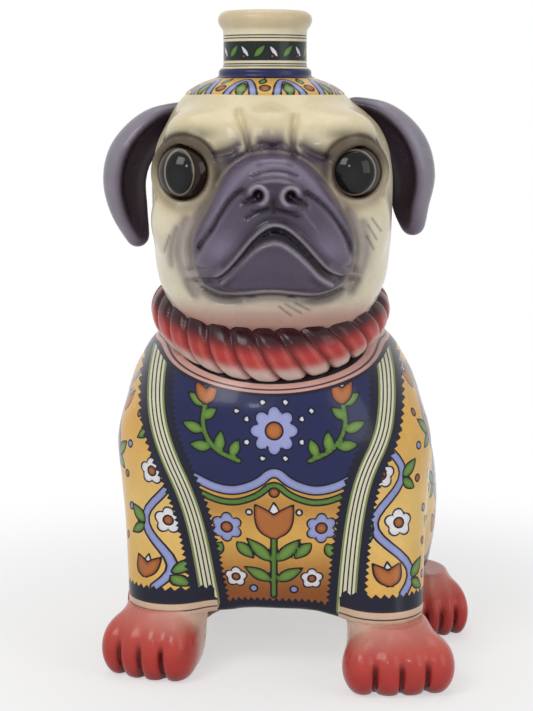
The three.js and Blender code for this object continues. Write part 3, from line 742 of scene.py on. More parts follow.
@dataclass
class Ornament:
    """Brushed shapes on a sheet that is wrapped round a piece, in millimetres."""

    u: Field
    v: Field
    layers: dict[Pigment, Field] = field(init=False)

    def __post_init__(self) -> None:
        """Start with every colour far away."""
        self.layers = {pigment: np.full(self.u.shape, BLANK, dtype=np.float32) for pigment in Pigment}

    def merge(self, pigment: Pigment, reach: Field) -> None:
        """Add a shape to a colour."""
        self.layers[pigment] = np.minimum(self.layers[pigment], reach)

    def disc(self, pigment: Pigment, u: float, v: float, radius: float) -> None:
        """A round dot."""
        self.merge(pigment, np.hypot(self.u - u, self.v - v) - radius)

    def leaf(self, pigment: Pigment, start: tuple[float, float], end: tuple[float, float], half: float) -> None:
        """A pointed leaf from its stalk to its tip.

        Args:
            pigment: Its colour.
            start: Its stalk.
            end: Its tip.
            half: Half its width.
        """
        du, dv = end[0] - start[0], end[1] - start[1]
        length = math.hypot(du, dv)
        t = ((self.u - start[0]) * du + (self.v - start[1]) * dv) / length
        s = ((self.v - start[1]) * du - (self.u - start[0]) * dv) / length
        share = np.clip(t / length, 0.0, 1.0)
        swell = half * np.sin(math.pi * share**0.8)
        past = np.maximum(np.maximum(-t, t - length), 0.0)
        self.merge(pigment, np.hypot(np.maximum(np.abs(s) - swell, 0.0), past) + np.minimum(np.abs(s) - swell, 0.0))

    def stroke(self, pigment: Pigment, line: Line, half: float) -> None:
        """A brush stroke of even width along a line."""
        self.merge(pigment, distance_to_line(self.u, self.v, rounded(line, 3)) - half)

    def bloom(self, u: float, v: float, radius: float, petals: int, heart: Pigment, petal: Pigment) -> None:
        """An open flower seen from the front.

        Args:
            u: Its middle across.
            v: Its middle's height.
            radius: Reach of its petals.
            petals: How many petals it has.
            heart: Colour of its middle.
            petal: Colour of its petals.
        """
        du, dv = self.u - u, self.v - v
        angle = np.arctan2(dv, du) - math.pi / 2
        reach = radius * (0.66 + 0.34 * np.abs(np.cos(angle * petals / 2)) ** 0.7)
        self.merge(petal, np.hypot(du, dv) - reach)
        self.disc(heart, u, v, radius * 0.36)

    def tulip(self, u: float, v: float, size: float, cup: Pigment, tongue: Pigment) -> None:
        """A closed flower on its stalk end, opening upwards.

        Args:
            u: Its foot across.
            v: Its foot's height.
            size: Its height.
            cup: Colour of its outer petals.
            tongue: Colour of its middle petal.
        """
        for side in (-1.0, 1.0):
            self.leaf(cup, (u - side * size * 0.1, v), (u + side * size * 0.52, v + size), size * 0.3)
        self.leaf(tongue, (u, v + size * 0.12), (u, v + size * 1.08), size * 0.2)

    def vine(self, u: float, low: float, high: float, swing: float, pitch: float, phase: float = 0.0) -> None:
        """A climbing stem with a leaf, a bloom or a bud in each of its bends.

        Args:
            u: Its middle across.
            low: Its lowest height.
            high: Its highest height.
            swing: How far it bends to each side.
            pitch: Height of one full bend.
            phase: Share of a bend by which it starts late.
        """
        heights = np.linspace(low, high, max(6, int((high - low) / 3.0)))
        bend = u + swing * np.sin(2 * math.pi * (heights / pitch + phase))
        line = list(zip(bend.tolist(), heights.tolist()))
        self.merge(Pigment.LAVENDER, distance_to_line(self.u, self.v, line) - 1.6)
        count = int((high - low) / (pitch / 2)) + 1
        first = math.ceil((low / pitch + phase - 0.25) * 2)
        for k in range(first, first + count + 1):
            v = (k / 2 + 0.25 - phase) * pitch
            if not low + 2.0 < v < high - 2.0:
                continue
            side = 1.0 if k % 2 == 0 else -1.0
            hollow = u - side * swing * 0.55
            if k % 4 in (0, 3):
                self.bloom(hollow, v, 5.6, 5, Pigment.RUST, Pigment.PALE)
            else:
                self.tulip(hollow + side * 1.0, v - 4.5, 9.0, Pigment.RUST, Pigment.PALE)
            tip = u + side * (swing + 7.5)
            self.leaf(Pigment.GREEN, (u + side * swing, v - 2.0), (tip, v + 4.5), 2.3)
            self.leaf(Pigment.GREEN, (u + side * swing, v - 3.0), (tip - side * 1.5, v - 7.5), 2.0)

    def keep_where(self, inside: Field) -> None:
        """Wipe the shapes off where a number is negative."""
        for pigment, reach in self.layers.items():
            self.layers[pigment] = np.where(inside > 0, reach, BLANK)

    def take_over(self, other: "Ornament") -> None:
        """Add all shapes of another sheet for the same piece."""
        for pigment, reach in other.layers.items():
            self.merge(pigment, reach)

    def put_on(self, piece: Piece) -> None:
        """Store every colour as a layer of a piece."""
        for pigment, reach in self.layers.items():
            paint(piece, pigment.layer, np.clip(reach, -BLANK, BLANK))


# The castings


INK = "#17131d"
BORDER = "#191a2e"

# Ochre glaze with outlined brushwork, striped straps and toothed dark borders: a richly painted coat.
# Painted shade: darker brown low on the breast panel, brown on the arch's edge and black under the rope.
COAT_GLAZE = Glaze(
    "ochre_coat_glaze_brushed", "#dfad58",
    (
        Spray("sun", "#e9c87c", 0.70),
        # Darker brown over the lower breast panel: painted shade where the panel turns under and back.
        Spray("lower_panel_shade", "#8f4d22", 0.95),
        *(coat for pigment in Pigment for coat in pigment.coats(INK)),
        Band("strap", BORDER, 0.0, 8.2, teeth=1.5),
        Band("strap", "#dfdcc0", 0.0, 3.7),
        *(Band("strap", INK, middle, 0.30) for middle in (0.0, 1.75, -1.75)),
        *(Band("strap", "#7d8a4c", middle, 0.42) for middle in (3.35, -3.35)),
        Band("hem", BORDER, 0.0, 5.6, teeth=1.5),
        # Brown line on the arch's rounded edge where it turns under: the border's light line darkened as painted
        # shade.
        Band("hem", "#6d4a34", -0.4, 1.2),
        Band("cuff", BORDER, 31.0, 6.4, teeth=1.6),
        Band("cuff", "#d8bba2", -20.0, 50.6),
        Band("cuff", "#2a2028", 30.6, 0.42),
        Band("cuff", "#5b463f", 27.4, 0.32),
        Band("neckline", BORDER, 20.0, 24.8),
        Band("neckline", "#cfa095", 20.0, 23.6),
        Band("neckline", "#4a2f33", -2.3, 0.30),
        # Black just above the neckline, under the rope: the collar's painted shadow.
        Band("neckline", "#1b141b", 20.0, 20.2),
        Spray("bare", "#e9e2d4"),
    ),
    mottle=0.06,
)


@dataclass
class BodyCasting:
    """The hollow body: torso, forelegs down to the cuffs, haunches and the arch under the belly."""

    height: float = 142.0
    half_width: float = 65.0
    chest: float = 61.0
    rump: float = 70.0
    squareness: float = 2.3
    hip_turn: float = 12.0
    hip_shift: float = 10.0
    head_shift: float = 3.2
    cuff: float = 24.5
    arch_half_width: float = 25.5
    arch_rise: float = 27.0
    arch_back: float = 40.0
    cuff_back: float = 10.0
    wall: float = 5.0
    grain: float = 1.15
    profile: tuple[tuple[float, float, float, float], ...] = (
        (0.00, 0.76, 0.62, 0.88),
        (0.10, 0.82, 0.70, 0.97),
        (0.21, 0.86, 0.77, 1.00),
        (0.36, 0.92, 0.88, 0.99),
        (0.52, 0.97, 0.965, 0.93),
        (0.64, 1.00, 1.00, 0.86),
        (0.76, 0.965, 0.98, 0.78),
        (0.86, 0.88, 0.93, 0.69),
        (0.94, 0.735, 0.83, 0.60),
        (1.00, 0.47, 0.68, 0.39),
    )
    shoulders: tuple[tuple[Point, Point, float, float], ...] = (
        ((-37.0, -15.0, 90.0), (-38.5, -32.0, 20.0), 23.0, 18.0),
        ((44.0, -19.0, 90.0), (47.5, -44.5, 20.0), 23.5, 17.5),
    )
    haunches: tuple[tuple[Point, Point, float], ...] = (
        ((-34.0, 28.0, 52.0), (24.0, 35.0, 52.0), -7.0),
        ((52.5, 20.0, 58.0), (23.8, 35.0, 54.0), -7.0),
    )
    straps: tuple[Line, ...] = (
        ((-42.0, 150.0), (-42.0, 137.5), (-44.4, 126.0), (-44.7, 114.9), (-43.2, 104.1), (-39.3, 93.1), (-32.1, 77.6),
         (-27.7, 62.7), (-24.4, 43.0), (-21.6, 24.0), (-20.0, 0.0)),
        ((47.0, 150.0), (47.0, 137.5), (49.4, 128.0), (49.8, 120.4), (49.2, 110.3), (47.2, 100.0), (40.2, 86.7),
         (36.7, 72.5), (34.3, 53.0), (32.6, 27.5), (32.0, 0.0)),
    )
    wrap: float = 62.0
    vines: int = 12
    panel_middle: tuple[float, float] = (3.6, 5.0)
    rosette: float = 105.0
    swag: Line = ((-56.0, 92.0), (-38.0, 88.0), (-20.0, 79.5), (-7.0, 83.0), (0.0, 90.0), (7.0, 83.0), (20.0, 79.5),
                  (38.0, 88.0), (56.0, 92.0))
    panel_leaves: tuple[tuple[Spot, Spot, float], ...] = (
        ((17.0, 94.5), (14.0, 102.0), 2.2), ((22.0, 96.0), (21.0, 105.0), 2.3), ((25.0, 98.0), (34.0, 98.5), 2.3),
        ((28.0, 104.0), (37.0, 107.0), 2.3), ((28.5, 109.0), (22.5, 113.5), 2.1), ((27.6, 114.0), (34.5, 118.5), 2.1),
        ((15.0, 58.0), (8.0, 51.0), 2.4), ((21.0, 57.5), (25.0, 50.0), 2.3), ((1.0, 50.0), (11.0, 60.0), 2.6),
        ((1.0, 41.0), (12.0, 47.0), 2.5),
    )
    panel_dots: tuple[tuple[Pigment, float, float, float], ...] = (
        (Pigment.PALE, 14.8, 112.5, 1.25), (Pigment.PALE, 10.0, 71.5, 1.3), (Pigment.LAVENDER, 30.0, 72.0, 1.9),
        (Pigment.LAVENDER, 8.2, 37.0, 1.6),
    )
    neckline: float = 136.6
    neckline_dip: float = 13.8
    neckline_rise: float = 4.6

    @property
    def floor_middle(self) -> Point:
        """Middle of the arch under the belly, on the floor."""
        return (self.head_shift + self.hip_shift + 1.5, 0.0, 0.0)

    def hips(self, z: Field) -> tuple[Field, Field]:
        """Turn in radians and sideways shift of the torso at a height."""
        share = (1.0 - np.clip(z / self.height, 0.0, 1.0)) ** 2
        return -math.radians(self.hip_turn) * share, self.head_shift + self.hip_shift * share

    def straight(self, x: Field, y: Field, z: Field) -> tuple[Field, Field]:
        """Places of the turned torso brought back to the straight one.

        Args:
            x: Places across.
            y: Places along.
            z: Heights.

        Returns:
            Places across and along on the straight torso.
        """
        turn, shift = self.hips(z)
        c, s = np.cos(turn), np.sin(turn)
        return (x - shift) * c + y * s, y * c - (x - shift) * s

    def tunnel(self, clay: Clay) -> tuple[Field, Field, Field]:
        """The arch under the belly, seen from its own middle.

        Args:
            clay: The block to work in.

        Returns:
            Places across and along the arch, and how far out they lie, 1 being on its vault.
        """
        across, along = clay.turned(self.floor_middle, -self.hip_turn)[:2]
        return across, along, rounded_square(across / self.arch_half_width, clay.z / self.arch_rise, 4)

    def form(self, clay: Clay) -> Field:
        """Press the body together.

        Args:
            clay: The block to work in.

        Returns:
            Distances to the body's surface.
        """
        across, along = self.straight(clay.x, clay.y, clay.z)
        level = throat_level(clay.z, along, clay.z / self.height)
        width, front, back = curve_through(self.profile)(np.clip(level / self.height, 0.0, 1.0))
        reach = np.where(along < 0, front * self.chest, back * self.rump)
        ring = rounded_square(across / (width * self.half_width), along / reach, self.squareness)
        torso = (ring - 1.0) * np.minimum(reach, width * self.half_width)
        torso = np.maximum(torso, level - self.height)
        for start, end, top, low in self.shoulders:
            torso = join(torso, clay.limb(start, end, top, low), 9.0)
        for place, half, turn in self.haunches:
            torso = join(torso, clay.egg(place, half, turn), 7.0)
        _, floor_along, tunnel = self.tunnel(clay)
        arch = np.maximum((tunnel - 1.0) * self.arch_half_width, floor_along - self.arch_back)
        underside = np.maximum(np.maximum(clay.z - self.cuff, floor_along - self.arch_back), torso + self.wall)
        torso = carve(carve(torso, arch, 3.0), underside, 2.0)
        cuffs = np.maximum(clay.z - self.cuff, floor_along - self.cuff_back)
        torso = carve(torso, cuffs, 2.0)
        return np.maximum(torso, -clay.z)

    def build(self) -> Piece:
        """Cast the body.

        Returns:
            The finished piece, without its painting.
        """
        clay = Clay((-72.0, -76.0, -3.0), (92.0, 80.0, 150.0), self.grain)
        return clay.cast("body", self.form(clay))

    def panel(self, ornament: Ornament) -> None:
        """Brush the breast panel: a dark field with a rosette over garlands, tulips and leaves.

        Args:
            ornament: The sheet, with its middle on the panel's middle.
        """
        line = np.array(rounded(self.swag, 3))
        ornament.merge(Pigment.NAVY, np.interp(ornament.u, line[:, 0], line[:, 1]) - ornament.v)
        ornament.stroke(Pigment.LAVENDER, self.swag, 1.9)
        ornament.stroke(Pigment.GREEN, lifted(self.swag, -5.2), 1.25)
        ornament.bloom(0.0, self.rosette, 9.6, 8, Pigment.RUST, Pigment.LAVENDER)
        for k in range(8):
            angle = math.pi * (k + 0.5) / 4
            ornament.disc(Pigment.PALE, 11.8 * math.cos(angle), self.rosette + 11.8 * math.sin(angle), 1.3)
        for side in (-1.0, 1.0):
            branch = [(side * 14.0, 93.0), (side * 24.0, 97.0), (side * 29.0, 106.0), (side * 27.0, 116.0)]
            ornament.stroke(Pigment.GREEN, branch, 1.15)
            for foot, tip, half in self.panel_leaves:
                ornament.leaf(Pigment.GREEN, (side * foot[0], foot[1]), (side * tip[0], tip[1]), half)
            for pigment, u, v, radius in self.panel_dots:
                ornament.disc(pigment, side * u, v, radius)
            ornament.tulip(side * 27.0, 114.5, 8.5, Pigment.RUST, Pigment.PALE)
            ornament.bloom(side * 19.0, 64.5, 6.4, 6, Pigment.RUST, Pigment.LAVENDER)
            ornament.bloom(side * 15.4, 42.0, 4.6, 5, Pigment.RUST, Pigment.PALE)
        ornament.stroke(Pigment.GREEN, [(0.0, 34.0), (0.0, 64.0)], 1.2)
        ornament.tulip(0.0, 60.0, 15.0, Pigment.RUST, Pigment.PALE)
        ornament.disc(Pigment.RUST, 0.0, 80.0, 2.0)

    def sleeves(self, ornament: Ornament) -> None:
        """Brush the climbing vines that go round the sleeves and the haunches, with dots between them.

        Args:
            ornament: The sheet that is wrapped round the body.
        """
        pitch = self.wrap * 2 * math.pi / self.vines
        for k in range(self.vines):
            ornament.vine((k - 5.5) * pitch, 37.0, 132.0, 6.2, 40.0, 0.13 * (k % 3))
            for j in range(7):
                dot = Pigment.RUST if j % 2 else Pigment.LAVENDER
                ornament.disc(dot, (k - 5.0) * pitch + 2.0 * (j % 3 - 1), 42.0 + 13.0 * j, 1.5)

    def dress(self, body: Piece) -> None:
        """Brush the coat: panels front and back, straps, climbing sleeves, borders, hem and cuffs, with painted shade
        low on the breast panel, at the arch's edge and under the rope.

        Args:
            body: The cast body.
        """
        x, y, z = places_of(body).T
        across, along = self.straight(x, y, z)
        inside, run = np.full_like(x, 1e3), np.zeros_like(x)
        for line, hand in zip(self.straps, (1.0, -1.0)):
            lateral, length = trace(x, z, rounded(line, 2))
            nearer = lateral * hand < inside
            inside = np.where(nearer, lateral * hand, inside)
            run = np.where(nearer, length, run)
        paint(body, "strap", np.clip(inside, -30.0, 30.0))
        paint(body, "strap_along", run)
        front = Ornament(x - np.where(y < 0, *self.panel_middle), z)
        self.panel(front)
        front.keep_where(inside)
        round_body = np.arctan2(across, -along) * self.wrap
        sleeves = Ornament(round_body, z)
        self.sleeves(sleeves)
        sleeves.keep_where(-inside)
        front.take_over(sleeves)
        front.put_on(body)
        # Painted shade: darker brown towards the bottom of the breast panel, with a fainter band at 74 mm.
        paint(body, "lower_panel_shade", (smooth_step(z, 62.0, 34.0) + 0.45 * bell(z, 74.0, 6.0)) * (inside > 0))
        paint(body, "sun", bell(z, 66.0, 22.0) * (inside < 0))
        floor_across, floor_along, tunnel = self.tunnel(Clay.probe(places_of(body)))
        # The hem layer also places the brown painted shade on the arch's rounded edge.
        hem = np.where((inside > -2.0) & (floor_along < self.arch_back), (tunnel - 1.0) * self.arch_half_width, 30.0)
        paint(body, "hem", np.clip(hem, -30.0, 30.0))
        paint(body, "hem_along", floor_across)
        ahead_of_rump = floor_along < self.arch_back + 1.5
        under = (floor_along > -40.0) & ahead_of_rump
        below = (floor_along > -22.0) & ahead_of_rump & (np.abs(floor_across) < 36.0) & (z < 30.0)
        paint(body, "bare", np.maximum(smooth_step(tunnel, 1.06, 1.02) * under, below))
        paint(body, "cuff", np.where(inside < 3.0, z, 60.0 + z))
        paint(body, "cuff_along", round_body)
        # The neckline's pink band and lines, topped by the black band of the collar's painted shadow.
        angle = np.arctan2(along - THROAT_MIDDLE, across)
        ahead, behind = np.clip(-np.sin(angle), 0.0, 1.0), np.clip(np.sin(angle), 0.0, 1.0)
        edge = self.neckline - self.neckline_dip * ahead**THROAT_BEND + self.neckline_rise * behind**THROAT_BEND
        paint(body, "neckline", z - edge)
        COAT_GLAZE.apply(body)


@dataclass
class Paw:
    """One red paw with its four toes, under a cuff or a haunch."""

    node: str
    place: Point
    turn: float
    half_width: float
    reach: float
    wrist: Point
    wrist_radius: float
    height: float = 25.5
    toes: int = 4
    groove_depth: float = 1.7
    groove_width: float = 0.95
    grain: float = 0.8

    @property
    def toe_pitch(self) -> float:
        """Spacing of the toes, which overlap like the fingers of a mitten."""
        return 1.72 * self.half_width / (self.toes + 0.15)

    def form(self, clay: Clay) -> Field:
        """Press the paw together.

        Args:
            clay: The block to work in.

        Returns:
            Distances to the paw's surface.
        """
        palm = clay.egg((self.place[0], self.place[1], self.height * 0.42),
                        (self.half_width * 0.84, self.reach * 0.84, self.height * 0.62), self.turn)
        foot = join(palm, clay.limb((*self.wrist[:2], self.height + 4.0), (*self.place[:2], 11.0),
                                    self.wrist_radius, self.wrist_radius), 7.0)
        toes = join_all(self.toe_eggs(clay), 3.0)
        return np.maximum(join(foot, toes, 5.0) + self.groove_depth * self.grooves(clay), -clay.z)

    def build(self) -> Piece:
        """Cast the paw.

        Returns:
            The finished piece, without its painting.
        """
        room = max(self.half_width, self.reach) * 1.45 + 4.0
        low = (self.place[0] - room, self.place[1] - room, -2.4)
        high = (self.place[0] + room, self.place[1] + room, self.height + 2.0)
        clay = Clay(low, high, self.grain)
        form = np.maximum(self.form(clay), clay.z - self.height)
        return clay.cast(self.node, form, smoothing=2)

    def toe_eggs(self, clay: Clay) -> list[Field]:
        """The toes side by side, fanned a little.

        Args:
            clay: The block to work in.

        Returns:
            Distances to each toe.
        """
        c, s = math.cos(math.radians(self.turn)), math.sin(math.radians(self.turn))
        eggs = []
        for k in range(self.toes):
            side = (k - (self.toes - 1) / 2) * self.toe_pitch
            ahead = -self.reach * (0.52 - 0.16 * (side / self.half_width) ** 2)
            at = (self.place[0] + side * c - ahead * s, self.place[1] + side * s + ahead * c, self.height * 0.40)
            fan = self.turn + 10.0 * side / self.half_width
            eggs.append(clay.egg(at, (self.toe_pitch * 0.92, self.reach * 0.52, self.height * 0.46), fan))
        return eggs

    def grooves(self, clay: Clay) -> Field:
        """The short grooves that part the toes, from the sole to half their height.

        Args:
            clay: The block to work in.

        Returns:
            Amounts from 0 to 1.
        """
        across, along, up = clay.turned(self.place, self.turn)
        spread = self.toe_pitch * (1.0 - 0.14 * along / self.reach)
        lines = [(k - (self.toes - 2) / 2) * spread for k in range(self.toes - 1)]
        amount = sum(bell(across, line, self.groove_width) for line in lines)
        low = smooth_step(up, self.height * 0.66, self.height * 0.40)
        return amount * low * smooth_step(along, -self.reach * 0.4, -self.reach * 0.7)

    def dress(self, foot: Piece) -> None:
        """Pale the wrist, draw the dark lines between the toes, and paint shade at the sole and a highlight on the
        knuckles.

        Args:
            foot: The cast paw.
        """
        places = places_of(foot)
        clay = Clay.probe(places)
        across, along, _ = clay.turned(self.place, self.turn)
        ahead = smooth_step(along, -self.reach * 0.12, -self.reach * 0.5)
        paint(foot, "gap", self.grooves(clay))
        paint(foot, "shade", smooth_step(places[:, 2], 7.0, 0.5))
        inner = smooth_step(-np.sign(self.place[0]) * across, -self.half_width * 0.3, self.half_width * 0.9)
        high = smooth_step(places[:, 2], self.height * 0.62, self.height * 1.0)
        paint(foot, "wrist", np.clip(high * (0.35 + 0.65 * inner) + inner * smooth_step(along, -11.0, 3.0), 0.0, 1.0))
        # Lighter red on the upper front of the toes: a painted highlight on the knuckles.
        paint(foot, "glint", smooth_step(places[:, 2], self.height * 0.3, self.height * 0.75) * ahead)
        PAW_GLAZE.apply(foot)


PAWS = (
    Paw("front_paw_right", (-43.5, -37.0, 0.0), -22.0, 20.0, 21.5, (-38.8, -31.5, 0.0), 16.5, height=27.5),
    Paw("front_paw_left", (52.6, -54.0, 0.0), 4.0, 22.5, 23.0, (47.8, -45.0, 0.0), 15.5),
    Paw("hind_paw_right", (-43.0, 38.0, 0.0), -24.0, 13.5, 23.0, (-38.0, 44.0, 0.0), 11.0, height=23.5,
        groove_depth=1.0, groove_width=0.75),
    Paw("hind_paw_left", (72.5, 18.0, 0.0), 12.0, 14.0, 23.0, (66.0, 26.0, 0.0), 12.0, height=25.5,
        groove_depth=1.0, groove_width=0.75),
)


@dataclass(frozen=True)
class Stroke:
    """A line modelled into the face, seen from the front: across and height in millimetres.

    A positive depth cuts a groove and a negative one raises a ridge.
    """

    line: Line
    width: float
    depth: float

    def relief(self, x: Field, z: Field) -> Field:
        """How deep the stroke cuts at places of the face."""
        reach = distance_to_line(x, z, rounded(self.line))
        return self.depth * bell(reach, 0.0, self.width)


# Black glaze with a pale brushed line round the iris, brown in the white of the eye and a grey painted reflection low
# in the iris: a wet dark bead.
EYE_GLAZE = Glaze(
    "black_eye_glaze_brushed", "#24170f",
    (
        Band("iris", "#09080a", -20.0, 20.0),
        # Grey low in the iris: a painted reflection.
        Spray("glow", "#26262a", 0.60),
        Band("iris", "#7d7263", 0.25, 0.34),
        Band("iris", "#120d0b", 0.85, 0.30),
    ),
    roughness=0.08, shine=0.1, level=0.2, mottle=0.04,
)

# Cream glaze with blown purple-grey, brown and pink. Painted shade darkens the creases, the mouth, the nostrils, the
# folds, the ear roots, the eye sockets and the fur above the rope; painted highlights lighten the muzzle's ridge, the
# jowls and the lip edges.
HEAD_GLAZE = Glaze(
    "cream_head_glaze_airbrushed", "#e6dcc2",
    (
        Spray("warmth", "#cfbd8c", 0.62),
        # Pink-brown tint of the chin and nape, with the collar's painted shadow.
        Spray("chin_tint_and_collar_shadow", "#b4857a", 0.92),
        # Grey painted shade in the folds, beside the muzzle, under the ears and at their roots, over a light cheek
        # tint.
        Spray("fold", "#7d7279", 0.72),
        Spray("lid", "#a3937c", 0.80),
        # Brown round the eyes, partly painted shade.
        Spray("socket", "#2b170a", 0.96),
        Spray("mauve", "#4c4257", 0.98),
        # Painted highlight on the muzzle's ridge and jowls.
        Spray("muzzle_highlight", "#877c94", 0.65),
        # Purple in the wrinkles and over the nose roll: painted shade.
        Spray("mask_purple_and_crease_shade", "#37293f", 0.96),
        # Painted shade in the mouth, nostrils and creases.
        Spray("dark", "#140d16", 0.97),
        # Painted highlight on the lip edges, chin and nostril rims.
        Spray("pale", "#cfc6cf", 0.60),
        Spray("whisker", "#2f2529", 0.70),
    ),
    mottle=0.05,
)

# Purple-grey glaze with painted shade inside the flap and at the root and a grey painted highlight on the rim: a soft
# thick ear.
EAR_GLAZE = Glaze(
    "purple_ear_glaze_airbrushed", "#6d6073",
    (
        Spray("rim", "#93909a", 0.70),
        Spray("inner", "#2c222b", 0.90),
        Spray("root", "#2e2530", 0.75),
    ),
)


@dataclass
class Eye:
    """One bulging eye in its socket, with the lid that rings it."""

    node: str
    place: Point
    splay: float
    iris_place: tuple[float, float]
    iris_half: tuple[float, float]
    radius: float
    lid_radius: float
    lid_ahead: float
    lid_thickness: float = 1.8
    cornea: float = 0.6

    @property
    def look(self) -> Point:
        """The way that the eye faces."""
        return (math.sin(math.radians(self.splay)), -math.cos(math.radians(self.splay)), 0.06)

    def lid_place(self) -> Point:
        """Middle of the lid's ring."""
        return tuple(p + self.lid_ahead * d for p, d in zip(self.place, self.look))

    def build(self) -> Piece:
        """Turn the eyeball, cut flat at the back and domed over the iris.

        Returns:
            The finished piece, without its painting.
        """
        centre = Vector(self.place) * MM + AXIS
        bpy.ops.object.select_all(action="DESELECT")
        bpy.ops.mesh.primitive_uv_sphere_add(segments=96, ring_count=64, radius=self.radius * MM, location=centre)
        ball = bpy.context.active_object
        ball.name = self.node
        bpy.ops.object.transform_apply(location=True, rotation=True, scale=True)
        bpy.ops.object.mode_set(mode="EDIT")
        bpy.ops.mesh.select_all(action="SELECT")
        bpy.ops.mesh.bisect(plane_co=centre - Vector(self.look) * 0.6 * self.radius * MM, plane_no=self.look,
                            use_fill=True, clear_inner=True)
        bpy.ops.object.mode_set(mode="OBJECT")
        bpy.ops.object.shade_smooth()
        places = places_of(ball)
        outward = (places - np.array(self.place, dtype=np.float32)) / self.radius
        ahead = places[:, 1] < self.place[1]
        dome = self.cornea * smooth_step(self.iris_ring(places), 1.08, 0.86) * ahead
        move_to(ball, places + outward * dome[:, None])
        return ball

    def iris_ring(self, places: Field) -> Field:
        """How far places lie from the iris's middle, as a share of the way to its edge."""
        across = (places[:, 0] - self.iris_place[0]) / self.iris_half[0]
        rise = (places[:, 2] - self.iris_place[1]) / self.iris_half[1]
        return np.hypot(across, rise)

    def dress(self, ball: Piece) -> None:
        """Paint the dark iris, its pale edge, the brown of the ball and a grey painted reflection low in the iris.

        Args:
            ball: The eyeball.
        """
        places = places_of(ball)
        paint(ball, "iris", (self.iris_ring(places) - 1.0) * min(self.iris_half))
        across = (places[:, 0] - self.iris_place[0]) / self.iris_half[0]
        rise = (places[:, 2] - self.iris_place[1]) / self.iris_half[1]
        # A soft grey patch low in the iris: a painted reflection.
        paint(ball, "glow", np.exp(-(((across + 0.1) / 0.6) ** 2 + ((rise + 0.25) / 0.55) ** 2)))
        EYE_GLAZE.apply(ball)


EYES = (
    Eye("eye_right", (-29.9, -41.2, 205.6), -24.0, (-33.4, 206.0), (5.5, 8.4), 12.6, 12.5, 4.6),
    Eye("eye_left", (34.2, -41.6, 205.8), 18.0, (35.0, 206.0), (8.0, 8.5), 12.0, 11.9, 5.0),
)


